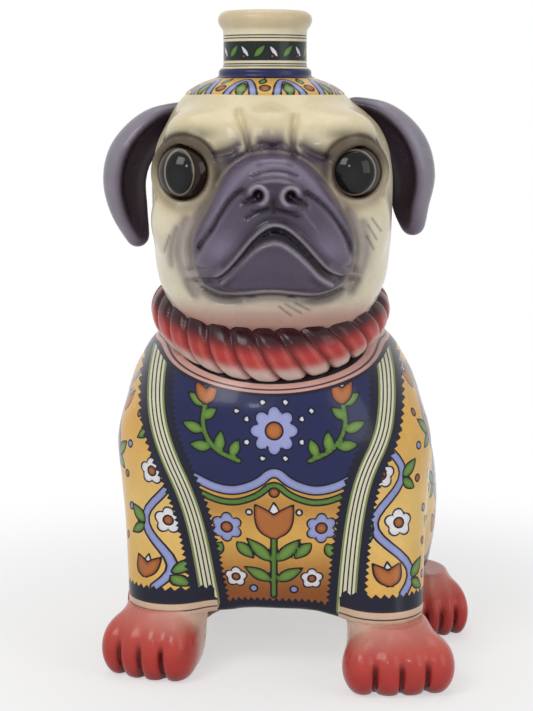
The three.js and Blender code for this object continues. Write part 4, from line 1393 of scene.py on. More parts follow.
@dataclass
class HeadCasting:
    """The hollow head with its flat face: skull, brows, lids, nose roll, muzzle, jowls and chin."""

    seam: float = 142.0
    height: float = 94.0
    half_width: float = 50.0
    face: float = 56.0
    nape: float = 42.0
    shift: float = 3.0
    muzzle_middle: float = 3.6
    muzzle_back: float = -38.0
    grain: float = 0.81
    profile: tuple[tuple[float, float, float, float], ...] = (
        (0.00, 0.61, 0.74, 0.65),
        (0.07, 0.80, 0.90, 0.84),
        (0.18, 0.93, 0.99, 0.92),
        (0.34, 0.985, 1.02, 0.97),
        (0.52, 1.00, 1.00, 1.00),
        (0.68, 0.995, 0.97, 1.00),
        (0.82, 0.93, 0.90, 0.95),
        (0.92, 0.81, 0.78, 0.86),
        (1.00, 0.66, 0.59, 0.786),
    )
    muzzle: tuple[tuple[float, float, float], ...] = (
        (154.0, 10.0, 15.0),
        (157.5, 22.0, 21.5),
        (161.0, 28.0, 26.5),
        (166.0, 31.3, 30.5),
        (172.0, 32.3, 33.0),
        (178.0, 32.6, 34.3),
        (185.0, 31.0, 35.0),
        (192.0, 27.4, 34.8),
        (200.0, 23.2, 33.2),
        (207.0, 17.6, 29.8),
        (211.0, 12.8, 26.0),
        (214.5, 6.0, 19.0),
    )
    lip: Line = ((-30.0, 163.5), (-24.5, 164.6), (-19.2, 165.3), (-15.7, 167.6), (-10.4, 173.8), (-5.1, 180.8),
                 (0.2, 185.2), (3.7, 186.3), (8.1, 185.2), (13.4, 180.8), (18.7, 174.7), (24.0, 168.5),
                 (29.3, 165.6), (33.7, 165.0), (38.0, 164.0))
    lower_lip: Line = ((-17.0, 164.6), (-9.5, 172.7), (-3.4, 178.9), (1.9, 181.1), (6.3, 180.8), (11.6, 177.1),
                       (17.0, 171.8), (21.4, 166.4), (26.5, 163.2))
    chin: Line = ((-30.0, 167.0), (-25.0, 160.2), (-17.8, 157.0), (-9.7, 157.6), (2.0, 159.6), (12.7, 158.0),
                  (21.7, 156.6), (30.7, 160.0), (36.0, 167.0))
    roll: Line = ((-28.6, 168.0), (-29.8, 177.9), (-27.8, 185.1), (-23.4, 192.2), (-19.6, 200.2), (-15.0, 207.3),
                  (-9.6, 211.5), (-3.4, 213.5), (3.7, 214.0), (9.9, 213.0), (16.2, 210.2), (21.5, 205.6),
                  (26.9, 198.5), (31.6, 191.3), (35.3, 184.2), (36.7, 176.1), (35.2, 167.0))
    creases: tuple[Line, ...] = (
        ((-8.6, 200.4), (-13.0, 197.2), (-17.5, 190.2), (-20.2, 184.9), (-23.7, 180.5), (-25.9, 176.8)),
        ((15.6, 199.4), (20.4, 196.3), (24.9, 191.9), (29.3, 185.8), (32.6, 179.8), (33.6, 176.4)),
    )
    philtrum: Line = ((3.2, 196.4), (3.4, 192.6))
    nose_folds: tuple[Line, ...] = (
        ((1.2, 193.4), (-2.8, 192.4), (-6.8, 190.0)),
        ((4.9, 192.8), (8.6, 192.2), (12.6, 190.4)),
    )
    roll_creases: tuple[Line, ...] = (
        ((-5.1, 205.4), (0.2, 207.4), (7.2, 207.4), (12.4, 205.4)),
        ((-3.0, 209.2), (3.6, 210.4), (10.4, 209.2)),
    )
    nostrils: tuple[tuple[float, float], ...] = ((-2.6, 198.6), (9.8, 198.2))
    wrinkles: tuple[Stroke, ...] = (
        Stroke(((-10.4, 229.0), (-7.6, 221.0), (-6.3, 214.5)), 1.3, 2.1),
        Stroke(((11.8, 227.0), (10.6, 219.5), (11.4, 213.0)), 1.3, 2.1),
        Stroke(((-13.4, 225.0), (-11.0, 219.5), (-10.4, 215.5)), 2.0, -1.0),
        Stroke(((16.6, 224.0), (14.6, 218.5), (15.0, 214.5)), 2.0, -1.0),
        Stroke(((-19.0, 213.0), (-14.0, 213.6), (-10.0, 216.4)), 1.5, 1.9),
        Stroke(((24.0, 211.5), (18.5, 213.0), (14.0, 216.2)), 1.5, 1.9),
        Stroke(((-5.0, 215.4), (-1.0, 217.6), (2.5, 215.8)), 1.2, 1.4),
        Stroke(((3.5, 215.8), (6.5, 217.4), (9.5, 215.4)), 1.2, 1.4),
        Stroke(((1.8, 222.0), (2.2, 216.5)), 1.1, 0.7),
    )
    cheek_folds: tuple[Stroke, ...] = (
        Stroke(((-30.6, 187.1), (-33.8, 179.9), (-34.6, 172.6), (-32.4, 165.3), (-27.6, 157.9)), 2.0, 1.5),
        Stroke(((-34.6, 184.1), (-37.4, 176.7), (-37.4, 168.4)), 1.3, 0.7),
        Stroke(((-37.6, 181.0), (-40.2, 174.0)), 1.0, 0.5),
        Stroke(((38.4, 186.0), (40.2, 177.1), (39.0, 168.0), (34.0, 159.5)), 1.8, 1.2),
        Stroke(((40.4, 185.4), (44.2, 179.4)), 0.7, 0.5),
        Stroke(((42.0, 188.0), (46.0, 182.6)), 0.7, 0.5),
        Stroke(((40.0, 181.0), (43.0, 175.4)), 0.7, 0.4),
        Stroke(((5.6, 153.9), (10.1, 150.3)), 0.7, 0.5),
        Stroke(((8.0, 154.9), (14.0, 151.3)), 0.7, 0.5),
        Stroke(((11.9, 155.2), (17.4, 152.4)), 0.7, 0.4),
    )

    def skull(self, clay: Clay) -> Field:
        """The plain head from the throat to the seat of the neck.

        Args:
            clay: The block to work in.

        Returns:
            Distances to its surface.
        """
        share = np.clip((clay.z - self.seam) / self.height, 0.0, 1.0)
        level = throat_level(clay.z, clay.y, 1.0 - share)
        share = np.clip((level - self.seam) / self.height, 0.0, 1.0)
        width, front, back = curve_through(self.profile)(share)
        width, front, back = width * self.half_width, front * self.face, back * self.nape
        across = clay.x - self.shift * (1.0 - smooth_step(share, 0.85, 1.0))
        reach = np.where(clay.y < 0, front, back)
        square = np.where(clay.y < 0, 2.7 - 0.7 * smooth_step(share, 0.75, 1.0), 2.05)
        ring = (np.abs(across / width) ** square + np.abs(clay.y / reach) ** square) ** (1.0 / square)
        form = (ring - 1.0) * np.minimum(reach, width)
        return np.maximum(np.maximum(form, self.seam - level), clay.z - self.seam - self.height)

    def snout(self, clay: Clay) -> Field:
        """The raised muzzle, broad at the jowls and narrow at the nose roll.

        Args:
            clay: The block to work in.

        Returns:
            Distances to its surface.
        """
        low, high = self.muzzle[0][0], self.muzzle[-1][0]
        width, reach = curve_through(self.muzzle)(np.clip(clay.z, low, high))
        n = 2.5
        across = np.abs((clay.x - self.muzzle_middle) / width)
        along = np.abs((clay.y - self.muzzle_back) / reach)
        form = ((across**n + along**n) ** (1.0 / n) - 1.0) * np.minimum(width, reach)
        return np.maximum(form, np.maximum(low - clay.z, clay.z - high))

    def lip_height(self, x: Field) -> Field:
        """Signed height of the upper lip's edge, read across the face."""
        line = np.array(rounded(self.lip))
        return np.interp(x, line[:, 0], line[:, 1]).astype(np.float32)

    def relief(self, x: Field, z: Field) -> Field:
        """All lines of the face, as a depth to cut below the plain form.

        Args:
            x: Places across.
            z: Heights.

        Returns:
            Depths in millimetres, negative where the face is raised.
        """
        depth = np.zeros(np.broadcast(x, z).shape, dtype=np.float32)
        for stroke in self.wrinkles + self.cheek_folds:
            depth = depth + stroke.relief(x, z)
        for crease in self.creases:
            depth = depth + Stroke(crease, 1.0, 1.7).relief(x, z)
        depth = depth + Stroke(self.roll, 1.6, 1.2).relief(x, z)
        lip_line = np.array(rounded(self.lip))
        slope = np.gradient(lip_line[:, 1], lip_line[:, 0])
        lean = np.sqrt(1.0 + np.interp(x, lip_line[:, 0], slope) ** 2)
        above = (z - self.lip_height(x)) / lean
        span = smooth_step(np.abs(x - self.muzzle_middle), 38.0, 28.0)
        mouth = smooth_step(above, 1.2, -1.4) * smooth_step(z, 152.0, 160.0)
        depth = depth + span * (3.4 * mouth + 1.3 * bell(above, -0.6, 1.1))
        depth = depth - span * 0.8 * bell(above, 1.3, 1.0)
        depth = depth + span * 0.8 * bell(above, 3.6, 1.2)
        depth = depth - span * 1.1 * bell(above, 7.2, 2.8)
        strokes = [Stroke(self.lower_lip, 0.8, 0.9), Stroke(rounded(lifted(self.lower_lip, -2.2)), 1.5, -1.1),
                   Stroke(self.chin, 1.3, 1.6), Stroke(lifted(self.chin[1:-1], 3.0), 2.2, -0.8),
                   Stroke(self.philtrum, 1.1, 1.2), *(Stroke(fold, 0.9, 1.0) for fold in self.nose_folds),
                   Stroke(self.roll_creases[0], 0.9, 0.9), Stroke(self.roll_creases[1], 1.0, 0.4)]
        for stroke in strokes:
            depth = depth + stroke.relief(x, z)
        return depth

    def nose(self, clay: Clay, face: Field) -> Field:
        """Add the nose with its curled nostrils to the face.

        Args:
            clay: The block to work in.
            face: Distances to the face so far.

        Returns:
            Distances to the face with its nose.
        """
        face = join(face, clay.egg((3.6, -70.2, 198.8), (11.3, 6.6, 6.3)), 2.0)
        for side, (x, z) in zip((-1.0, 1.0), self.nostrils):
            face = join(face, clay.ring((x, -73.6, z), (side * 0.35, -1.0, 0.1), 3.7, 1.4), 1.2)
            face = carve(face, clay.egg((x, -76.6, z - 0.2), (2.1, 5.2, 2.6)), 0.8)
            slit = clay.limb((x, -75.5, z - 0.8), (x + side * 5.4, -70.8, z - 3.4), 1.7, 1.3)
            face = carve(face, slit, 0.8)
        return face

    def form(self, clay: Clay) -> Field:
        """Press the head together.

        Args:
            clay: The block to work in.

        Returns:
            Distances to the head's surface.
        """
        head = self.skull(clay)
        head = join(head, clay.egg((-25.0, -37.0, 219.5), (13.0, 13.0, 8.5), 0.0, 16.0), 14.0)
        head = join(head, clay.egg((29.0, -37.0, 219.5), (13.0, 13.0, 8.5), 0.0, -16.0), 14.0)
        head = join(head, clay.egg((1.8, -44.0, 218.5), (9.5, 9.5, 10.0)), 8.0)
        head = join(head, clay.egg((-33.0, -36.0, 186.0), (12.0, 14.0, 14.0)), 8.0)
        head = join(head, clay.egg((37.0, -36.0, 186.0), (12.0, 14.0, 14.0)), 8.0)
        for eye in EYES:
            ahead = sum((c - p) * d for c, p, d in zip((clay.x, clay.y, clay.z), eye.lid_place(), eye.look))
            hood = np.maximum(clay.egg(eye.place, (eye.radius + 2.4,) * 3), ahead)
            head = join(head, hood, 3.0)
            head = carve(head, clay.egg(eye.place, (eye.radius + 0.5,) * 3), 1.0)
            head = join(head, clay.ring(eye.lid_place(), eye.look, eye.lid_radius, eye.lid_thickness), 2.2)
        head = join(head, self.snout(clay), 4.0)
        head = self.nose(clay, head)
        facing = smooth_step(clay.y, -22.0, -34.0)
        return head + self.relief(clay.x, clay.z) * facing

    def build(self) -> Piece:
        """Cast the head.

        Returns:
            The finished piece, without its painting.
        """
        clay = Clay((-56.0, -82.0, 133.0), (60.0, 46.0, 238.5), self.grain)
        return clay.cast("head", self.form(clay), smoothing=2)

    def stains(self, x: Field, z: Field, inside: Field) -> Field:
        """Purple in the wrinkles over the nose roll, along the roll's top and on the nose: painted shade in the
        grooves, thinned on the ridges between them as painted highlight, over the nose's own dark.

        Args:
            x: Places across.
            z: Heights.
            inside: Distance to the muzzle's outline, negative inside.

        Returns:
            Amounts from 0 to 1.
        """
        amount = np.zeros_like(x)
        for stroke in (wrinkle for wrinkle in self.wrinkles if wrinkle.depth > 0.0):
            soft = Stroke(stroke.line, 1.7, 0.9).relief(x, z)
            amount = np.maximum(amount, soft * smooth_step(z, 227.0, 215.0))
        hem = smooth_step(inside, 12.0, 3.0) * smooth_step(inside, -0.4, 1.4) * smooth_step(z, 205.0, 211.0)
        hem = hem * smooth_step(np.abs(x - self.muzzle_middle), 27.0, 19.0)
        # Thinner on the ridges between the wrinkles: painted highlight.
        for ridge in (-8.6, -4.4, 8.6, 13.2):
            hem = hem * (1.0 - 0.6 * np.exp(-(((x - ridge) / 1.3) ** 2)) * smooth_step(inside, 1.0, 4.0))
        nose = np.hypot((x - self.muzzle_middle) / 9.5, (z - 198.6) / 5.6)
        return np.maximum(np.maximum(amount, hem), 0.8 * smooth_step(nose, 1.15, 0.75))

    def sockets(self, x: Field, y: Field, z: Field) -> tuple[Field, Field]:
        """Brown blown round the eyes, strongest over them, and the duller rim of the lids. The brown is partly the
        figure's own and partly painted shade in the crease over the lid, the inner corners and the gap between ball
        and lid.

        Args:
            x: Places across.
            y: Places along the head, from the face to the nape.
            z: Heights.

        Returns:
            Amounts of brown and of the lids' colour from 0 to 1.
        """
        amount, rim = np.zeros_like(x), np.zeros_like(x)
        for eye in EYES:
            lid = eye.lid_place()
            dx, dy, dz = x - lid[0], y - lid[1], z - lid[2]
            ahead = dx * eye.look[0] + dy * eye.look[1] + dz * eye.look[2]
            near = smooth_step(ahead, -7.0, -2.0)
            ring = np.hypot(dx / math.cos(math.radians(eye.splay)), dz)
            above = smooth_step(dz, -6.0, 7.0)
            crease = eye.lid_radius + 1.9
            brown = np.exp(-(((ring - crease - 0.4) / 1.9) ** 2)) * (0.3 + 0.7 * above)
            brown = np.maximum(brown, 0.8 * smooth_step(ring, crease + 1.0, crease - 1.0) * above)
            inner = -np.sign(eye.place[0]) * dx
            brow = np.exp(-(((inner - 4.0) / 9.0) ** 2 + ((dz - crease - 0.6) / 3.0) ** 2))
            corner = np.exp(-(((inner - eye.lid_radius - 0.8) / 3.4) ** 2 + ((dz - 1.0) / 9.0) ** 2))
            brown = np.maximum(np.maximum(brown, 0.72 * brow), 0.88 * corner) * near
            brown = np.maximum(brown, 0.95 * smooth_step(ring, eye.lid_radius - 0.2, eye.lid_radius - 1.8) * near)
            amount = np.maximum(amount, brown)
            rim = np.maximum(rim, smooth_step(ring, crease + 1.5, crease - 1.5) * near)
        return amount, rim

    def mouth_lines(self, x: Field, z: Field) -> tuple[Field, Field]:
        """Painted shade in the mouth, the nostrils and the creases, and painted highlight on their edges.

        Args:
            x: Places across.
            z: Heights.

        Returns:
            Dark and pale amounts from 0 to 1.
        """
        low = np.array(rounded(self.lower_lip))
        floor = np.interp(x, low[:, 0], low[:, 1])
        roof = self.lip_height(x)
        gap = smooth_step(z, floor - 0.3, floor + 1.0) * smooth_step(z, roof + 0.9, roof - 0.9)
        gap = gap * ((x > low[0, 0]) & (x < low[-1, 0]))
        dark = 0.92 * gap
        lines = [(crease, 0.75, 0.95) for crease in self.creases]
        lines += [(side, 0.9, 0.5) for side in (self.roll[:5], self.roll[-4:])]
        lines += [(self.lip[2:-2], 0.8, 0.8), (self.chin[1:-1], 0.9, 0.85)]
        lines += [(self.philtrum, 1.5, 0.92), (self.nose_folds[0], 1.0, 0.9), (self.nose_folds[1], 1.0, 0.9),
                  (lifted(self.lip[3:-3], 3.6), 1.5, 0.72), (self.roll_creases[0], 0.7, 0.7),
                  (self.roll_creases[1], 0.7, 0.45)]
        for line, width, amount in lines:
            dark = np.maximum(dark, Stroke(line, width, amount).relief(x, z))
        for side, (u, v) in zip((-1.0, 1.0), self.nostrils):
            dark = np.maximum(dark, np.exp(-((np.hypot(x - u, z - v) / 2.3) ** 4)))
            slit = ((u, v - 0.8), (u + side * 2.6, v - 1.9), (u + side * 5.2, v - 3.2))
            dark = np.maximum(dark, Stroke(slit, 1.3, 0.97).relief(x, z))
        pale = np.zeros_like(x)
        edge = [(u, v + 1.1) for u, v in self.lip[2:-2]]
        for line, amount in ((edge, 0.75), ([(u, v - 1.0) for u, v in self.lower_lip], 0.85),
                             ([(u, v + 1.5) for u, v in self.chin[1:-1]], 0.7)):
            pale = np.maximum(pale, Stroke(line, 0.6, amount).relief(x, z))
        for side, (u, v) in zip((-1.0, 1.0), self.nostrils):
            curl = np.abs(np.hypot(x - u, z - v) - 3.4)
            opening = smooth_step(side * (x - u) - 0.9 * (z - v), 4.2, 0.5)
            pale = np.maximum(pale, 0.75 * np.exp(-((curl / 0.7) ** 2)) * opening)
        return dark, pale

    def dress(self, head: Piece) -> None:
        """Paint the face, the shading of the fur as painted shade and highlight, and the collar's painted shadow.

        Args:
            head: The cast head.
        """
        x, y, z = places_of(head).T
        front = smooth_step(y, -30.0, -42.0)
        outline = rounded(list(self.roll) + list(self.chin[-2:0:-1]), 1)
        inside = signed_outline(x, z, outline)
        swell = 1.6 * smooth_step(z, 200.0, 210.0)
        mauve = smooth_step(inside - swell, 1.2, -2.4) * front
        paint(head, "mauve", mauve)
        # Lighter lilac on the muzzle's ridge and jowls: painted highlight.
        ridge = bell(inside, -4.5, 2.6) * smooth_step(z, 176.0, 196.0)
        jowl = np.exp(-(((np.abs(x - 3.6) - 20.0) / 8.0) ** 2 + ((z - 177.0) / 7.0) ** 2))
        paint(head, "muzzle_highlight", np.clip(ridge + jowl, 0.0, 1.0) * mauve)
        # Purple in the wrinkles and along the roll's top: painted shade, lighter on the ridges.
        paint(head, "mask_purple_and_crease_shade", self.stains(x, z, inside) * front)
        socket, lid = self.sockets(x, y, z)
        # Brown round the eyes, partly painted shade in the lid's crease, the inner corners and round the ball.
        paint(head, "socket", socket * smooth_step(y, -24.0, -34.0))
        paint(head, "lid", lid * smooth_step(y, -24.0, -34.0))
        dark, pale = self.mouth_lines(x, z)
        # Painted shade in the mouth, nostrils and creases; painted highlights on the lip edges, chin and nostril
        # rims.
        paint(head, "dark", dark * front)
        paint(head, "pale", pale * front)
        # Grey in the big cheek folds, just outside the muzzle, low on the jaw under the ears and at the ear roots is
        # painted shade; the wash is a light grey-lilac tint on the cheeks; whiskers are thin dark lines.
        fold, whisker = np.zeros_like(x), np.zeros_like(x)
        for stroke in self.cheek_folds:
            if stroke.width > 1.2:
                fold = np.maximum(fold, Stroke(stroke.line, stroke.width * 1.2, 0.8).relief(x, z) * front)
            else:
                whisker = np.maximum(whisker, Stroke(stroke.line, 0.45, 0.8).relief(x, z) * front)
        paint(head, "whisker", whisker)
        rim = bell(inside, 1.4, 1.7) * smooth_step(z, 204.0, 190.0) * front
        wash = smooth_step(inside, 16.0, 2.0) * smooth_step(z, 200.0, 186.0) * front
        jaw = np.exp(-(((z - 182.0) / 9.0) ** 2 + ((y + 14.0) / 15.0) ** 2))
        jaw = jaw * smooth_step(np.abs(x - 2.0), 42.0, 47.0)
        roots = sum(np.exp(-((np.hypot(np.hypot(x - ear.spine[0][0] * 1.1, y - ear.spine[0][1]),
                                       z - ear.spine[0][2] + 3.0) / 9.0) ** 2)) for ear in EARS)
        paint(head, "fold", np.clip(np.maximum(fold, 0.9 * rim) + 0.3 * wash + 0.75 * jaw + 0.8 * roots, 0.0, 1.0))
        # Pinkish brown on the chin fur and the nape, strongest just above the rope: fur tint with the collar's
        # painted shadow.
        nape = 0.5 * smooth_step(z, 182.0, 152.0) * smooth_step(y, 0.0, 24.0)
        paint(head, "chin_tint_and_collar_shadow", np.maximum(smooth_step(z, 158.5, 147.0) * (0.35 + 0.65 * front), nape))
        glow = [bell(np.hypot(x - eye.place[0], z - eye.place[2]), eye.lid_radius + 3.0, 4.5) for eye in EYES]
        paint(head, "warmth", np.maximum(smooth_step(z, 205.0, 232.0), 0.8 * (glow[0] + glow[1]) * front))
        HEAD_GLAZE.apply(head)


@dataclass
class Ear:
    """One hanging ear: a thick flap with a rolled outer rim round a hollow darkened with painted shade."""

    node: str
    spine: tuple[Point, ...]
    radii: tuple[float, ...]
    hollow: Point
    grain: float = 0.8

    def flap_and_dish(self, clay: Clay) -> tuple[Field, Field]:
        """The ear's thick flap and the hollow that is scooped out of it.

        Args:
            clay: The block to work in.

        Returns:
            Distances to the flap and to the hollow.
        """
        rows = [(k, *place, radius) for k, (place, radius) in enumerate(zip(self.spine, self.radii))]
        steps = np.linspace(0.0, len(rows) - 1.0, 25)
        path = np.stack(curve_through(rows)(steps), axis=1)
        flap, dish = [], []
        for start, end in zip(path[:-1], path[1:]):
            flap.append(clay.limb(tuple(start[:3]), tuple(end[:3]), start[3], end[3]))
            inner = [tuple(p[:3] + np.array(self.hollow)) for p in (start, end)]
            dish.append(clay.limb(inner[0], inner[1], start[3] * 0.78, end[3] * 0.72))
        return join_all(flap, 0.8), join_all(dish, 0.8)

    def build(self) -> Piece:
        """Cast the ear.

        Returns:
            The finished piece, without its painting.
        """
        spine = np.array(self.spine)
        low, high = spine.min(0) - 15.0, spine.max(0) + 15.0
        clay = Clay(tuple(low), tuple(high), self.grain)
        return clay.cast(self.node, carve(*self.flap_and_dish(clay), 2.2), smoothing=3)

    def dress(self, flap: Piece) -> None:
        """Paint shade into the hollow and at the root, and a lighter highlight on the rim.

        Args:
            flap: The cast ear.
        """
        places = places_of(flap)
        _, dish = self.flap_and_dish(Clay.probe(places))
        outer = np.sign(self.spine[2][0]) * (places[:, 0] - np.interp(places[:, 2], *self.middle_line()))
        # Dark hollow and root are painted shade; the lighter rim is a painted highlight.
        paint(flap, "inner", smooth_step(dish, 2.4, 0.2))
        paint(flap, "rim", smooth_step(outer, -1.0, 6.0) * smooth_step(dish, 1.0, 4.0))
        root = np.linalg.norm(places - np.array(self.spine[0]), axis=1)
        paint(flap, "root", smooth_step(root, 16.0, 6.0))
        EAR_GLAZE.apply(flap)

    def middle_line(self) -> tuple[list[float], list[float]]:
        """Heights of the spine in rising order, with its places across."""
        ordered = sorted((p[2], p[0]) for p in self.spine)
        return [z for z, _ in ordered], [x for _, x in ordered]


EARS = (
    Ear("ear_right",
        ((-35.0, -1.0, 225.5), (-46.5, -3.0, 221.5), (-55.4, -4.5, 212.0), (-58.6, -4.5, 201.0), (-57.2, -3.5, 189.0),
         (-53.8, -2.0, 177.2)),
        (7.2, 8.2, 9.0, 8.9, 7.8, 5.0), (6.4, -6.2, -1.2)),
    Ear("ear_left",
        ((38.0, -1.0, 227.6), (49.4, -3.0, 223.8), (58.0, -4.5, 214.5), (61.6, -4.5, 203.0), (61.0, -3.5, 191.5),
         (62.2, -2.0, 182.2)),
        (7.2, 8.4, 9.4, 9.2, 7.8, 5.2), (-6.8, -6.6, -1.2)),
)


# Red glaze with the chin's painted shadow black on top in front, grey-brown on top at the sides, painted shade in the
# grooves, a painted highlight along the strands and paler below: a heavy rope.
ROPE_GLAZE = Glaze(
    "red_rope_glaze_airbrushed", "#b43733",
    (
        Spray("glint", "#d98a7e", 0.32),
        Spray("under", "#e0cbbf", 0.92),
        Spray("top", "#1c1119", 0.95),
        Spray("side_top", "#6a4d4c", 0.70),
        Spray("groove", "#4a1f24", 0.80),
    ),
)

# Red glaze that pales towards the cuff, with brown-black lines between the toes, painted shade at the sole and a
# painted highlight on the knuckles: a hand-painted paw.
PAW_GLAZE = Glaze(
    "red_paw_glaze_airbrushed", "#b53a34",
    (
        Spray("wrist", "#dcc0ac", 0.88),
        Spray("glint", "#cf6459", 0.36),
        Spray("shade", "#7e2a2b", 0.55),
        Spray("gap", "#2a1214", 0.92),
    ),
)

# Cream glaze blown with brown: painted shade in the cleft between the coils and against the rump, and browner towards
# the outer edge.
TAIL_GLAZE = Glaze(
    "cream_tail_glaze_airbrushed", "#e2d4b4",
    (Spray("coil", "#6b4d36", 0.85),),
)


@dataclass
class RopeCollar:
    """The rope that rings the throat, laid lower in front than at the sides."""

    half_width: float = 39.8
    half_depth: float = 43.0
    middle: tuple[float, float] = (2.3, -7.0)
    front_height: float = 134.4
    side_height: float = 147.5
    back_height: float = 150.0
    section: tuple[float, float] = (10.4, 11.4)
    lays: int = 27
    turns: int = 3
    groove: float = 2.0
    steps: int = 540
    around: int = 48

    def centre_line(self, along: Field) -> Field:
        """Points of the rope's centre line at angles round the throat.

        Args:
            along: Angles in radians, counted from the pug's left.

        Returns:
            One row of three coordinates for each angle.
        """
        front = np.clip(-np.sin(along), 0.0, 1.0)
        back = np.clip(np.sin(along), 0.0, 1.0)
        height = self.side_height - (self.side_height - self.front_height) * front**1.6
        height = height + (self.back_height - self.side_height) * back**1.6
        x = self.middle[0] + self.half_width * np.cos(along)
        y = self.middle[1] + self.half_depth * np.sin(along)
        return np.stack([x, y, height], axis=1)

    def build(self) -> Piece:
        """Lay the rope from a flat grid that is rolled up and joined to itself.

        Returns:
            The finished piece; its strand layer tells how far each place stands up from the groove beside it.
        """
        bpy.ops.object.select_all(action="DESELECT")
        bpy.ops.mesh.primitive_grid_add(x_subdivisions=self.steps, y_subdivisions=self.around, size=2.0)
        rope = bpy.context.active_object
        rope.name = "collar_rope"
        flat = np.empty(len(rope.data.vertices) * 3, dtype=np.float32)
        rope.data.vertices.foreach_get("co", flat)
        along = (flat[0::3].astype(float) + 1.0) * math.pi
        around = (flat[1::3].astype(float) + 1.0) * math.pi
        strand = np.abs(np.sin((self.lays * along + self.turns * around) / 2))
        centre = self.centre_line(along)
        ahead = self.centre_line(along + 0.01) - self.centre_line(along - 0.01)
        ahead /= np.linalg.norm(ahead, axis=1)[:, None]
        outward = np.cross(ahead, np.array([0.0, 0.0, 1.0]))
        outward /= np.linalg.norm(outward, axis=1)[:, None]
        upright = np.cross(outward, ahead)
        cut = self.groove * (1.0 - strand) ** 2.4
        out = (self.section[0] - cut) * np.cos(around)
        rise = (self.section[1] - cut) * np.sin(around)
        move_to(rope, centre + outward * out[:, None] + upright * rise[:, None])
        paint(rope, "strand", strand)
        paint(rope, "height", np.sin(around))
        weld(rope, 1e-5)
        bpy.ops.object.shade_smooth()
        return rope

    def dress(self, rope: Piece) -> None:
        """Paint the chin's shadow black on top in front, grey-brown on top at the sides, shade in the grooves, a
        highlight along the strands, and pale the lower edge.

        Args:
            rope: The laid rope, with its strand and height layers.
        """
        count = len(rope.data.vertices)
        strand, height = np.empty(count, dtype=np.float32), np.empty(count, dtype=np.float32)
        rope.data.attributes["strand"].data.foreach_get("value", strand)
        rope.data.attributes["height"].data.foreach_get("value", height)
        x, y, _ = places_of(rope).T
        ahead = smooth_step(y - 0.5 * np.abs(x - self.middle[0]), -20.0, -46.0)
        lit = smooth_step(strand, 0.15, 0.75)
        # Black on top in front, under the chin: the chin's painted shadow; grey-brown on top at the sides.
        paint(rope, "top", smooth_step(height, -0.12, 0.55) * ahead)
        paint(rope, "side_top", smooth_step(height, 0.25, 0.9) * (1.0 - ahead))
        paint(rope, "under", smooth_step(height, -0.30, -0.72) * (0.55 + 0.45 * lit))
        # Dark red-brown in the grooves between the strands: painted shade.
        paint(rope, "groove", smooth_step(strand, 0.34, 0.05))
        # Lighter red along the crests of the strands: painted highlight.
        paint(rope, "glint", bell(strand, 0.72, 0.16) * smooth_step(height, 0.5, 0.0))
        ROPE_GLAZE.apply(rope)


# Cream glaze with turned lines, a dark leafy band and an ochre cap in outlined brushwork.
NECK_GLAZE = Glaze(
    "cream_neck_glaze_brushed", "#e3d9bb",
    (
        Spray("lip", "#c9b48e", 0.75),
        Band("level", "#ddae58", 230.0, 12.6),
        Band("level", "#18261f", 253.4, 3.9),
        *(coat for pigment in Pigment for coat in pigment.coats(INK)),
        Band("level", "#28262b", 258.6, 0.24),
        Band("level", "#28262b", 259.7, 0.24),
        Band("level", "#28262b", 248.2, 0.24),
        Band("level", "#28262b", 247.3, 0.24),
        Band("level", "#242b55", 244.3, 1.75),
        Band("level", INK, 242.6, 0.22),
        Band("level", INK, 246.1, 0.22),
    ),
    mottle=0.05,
)


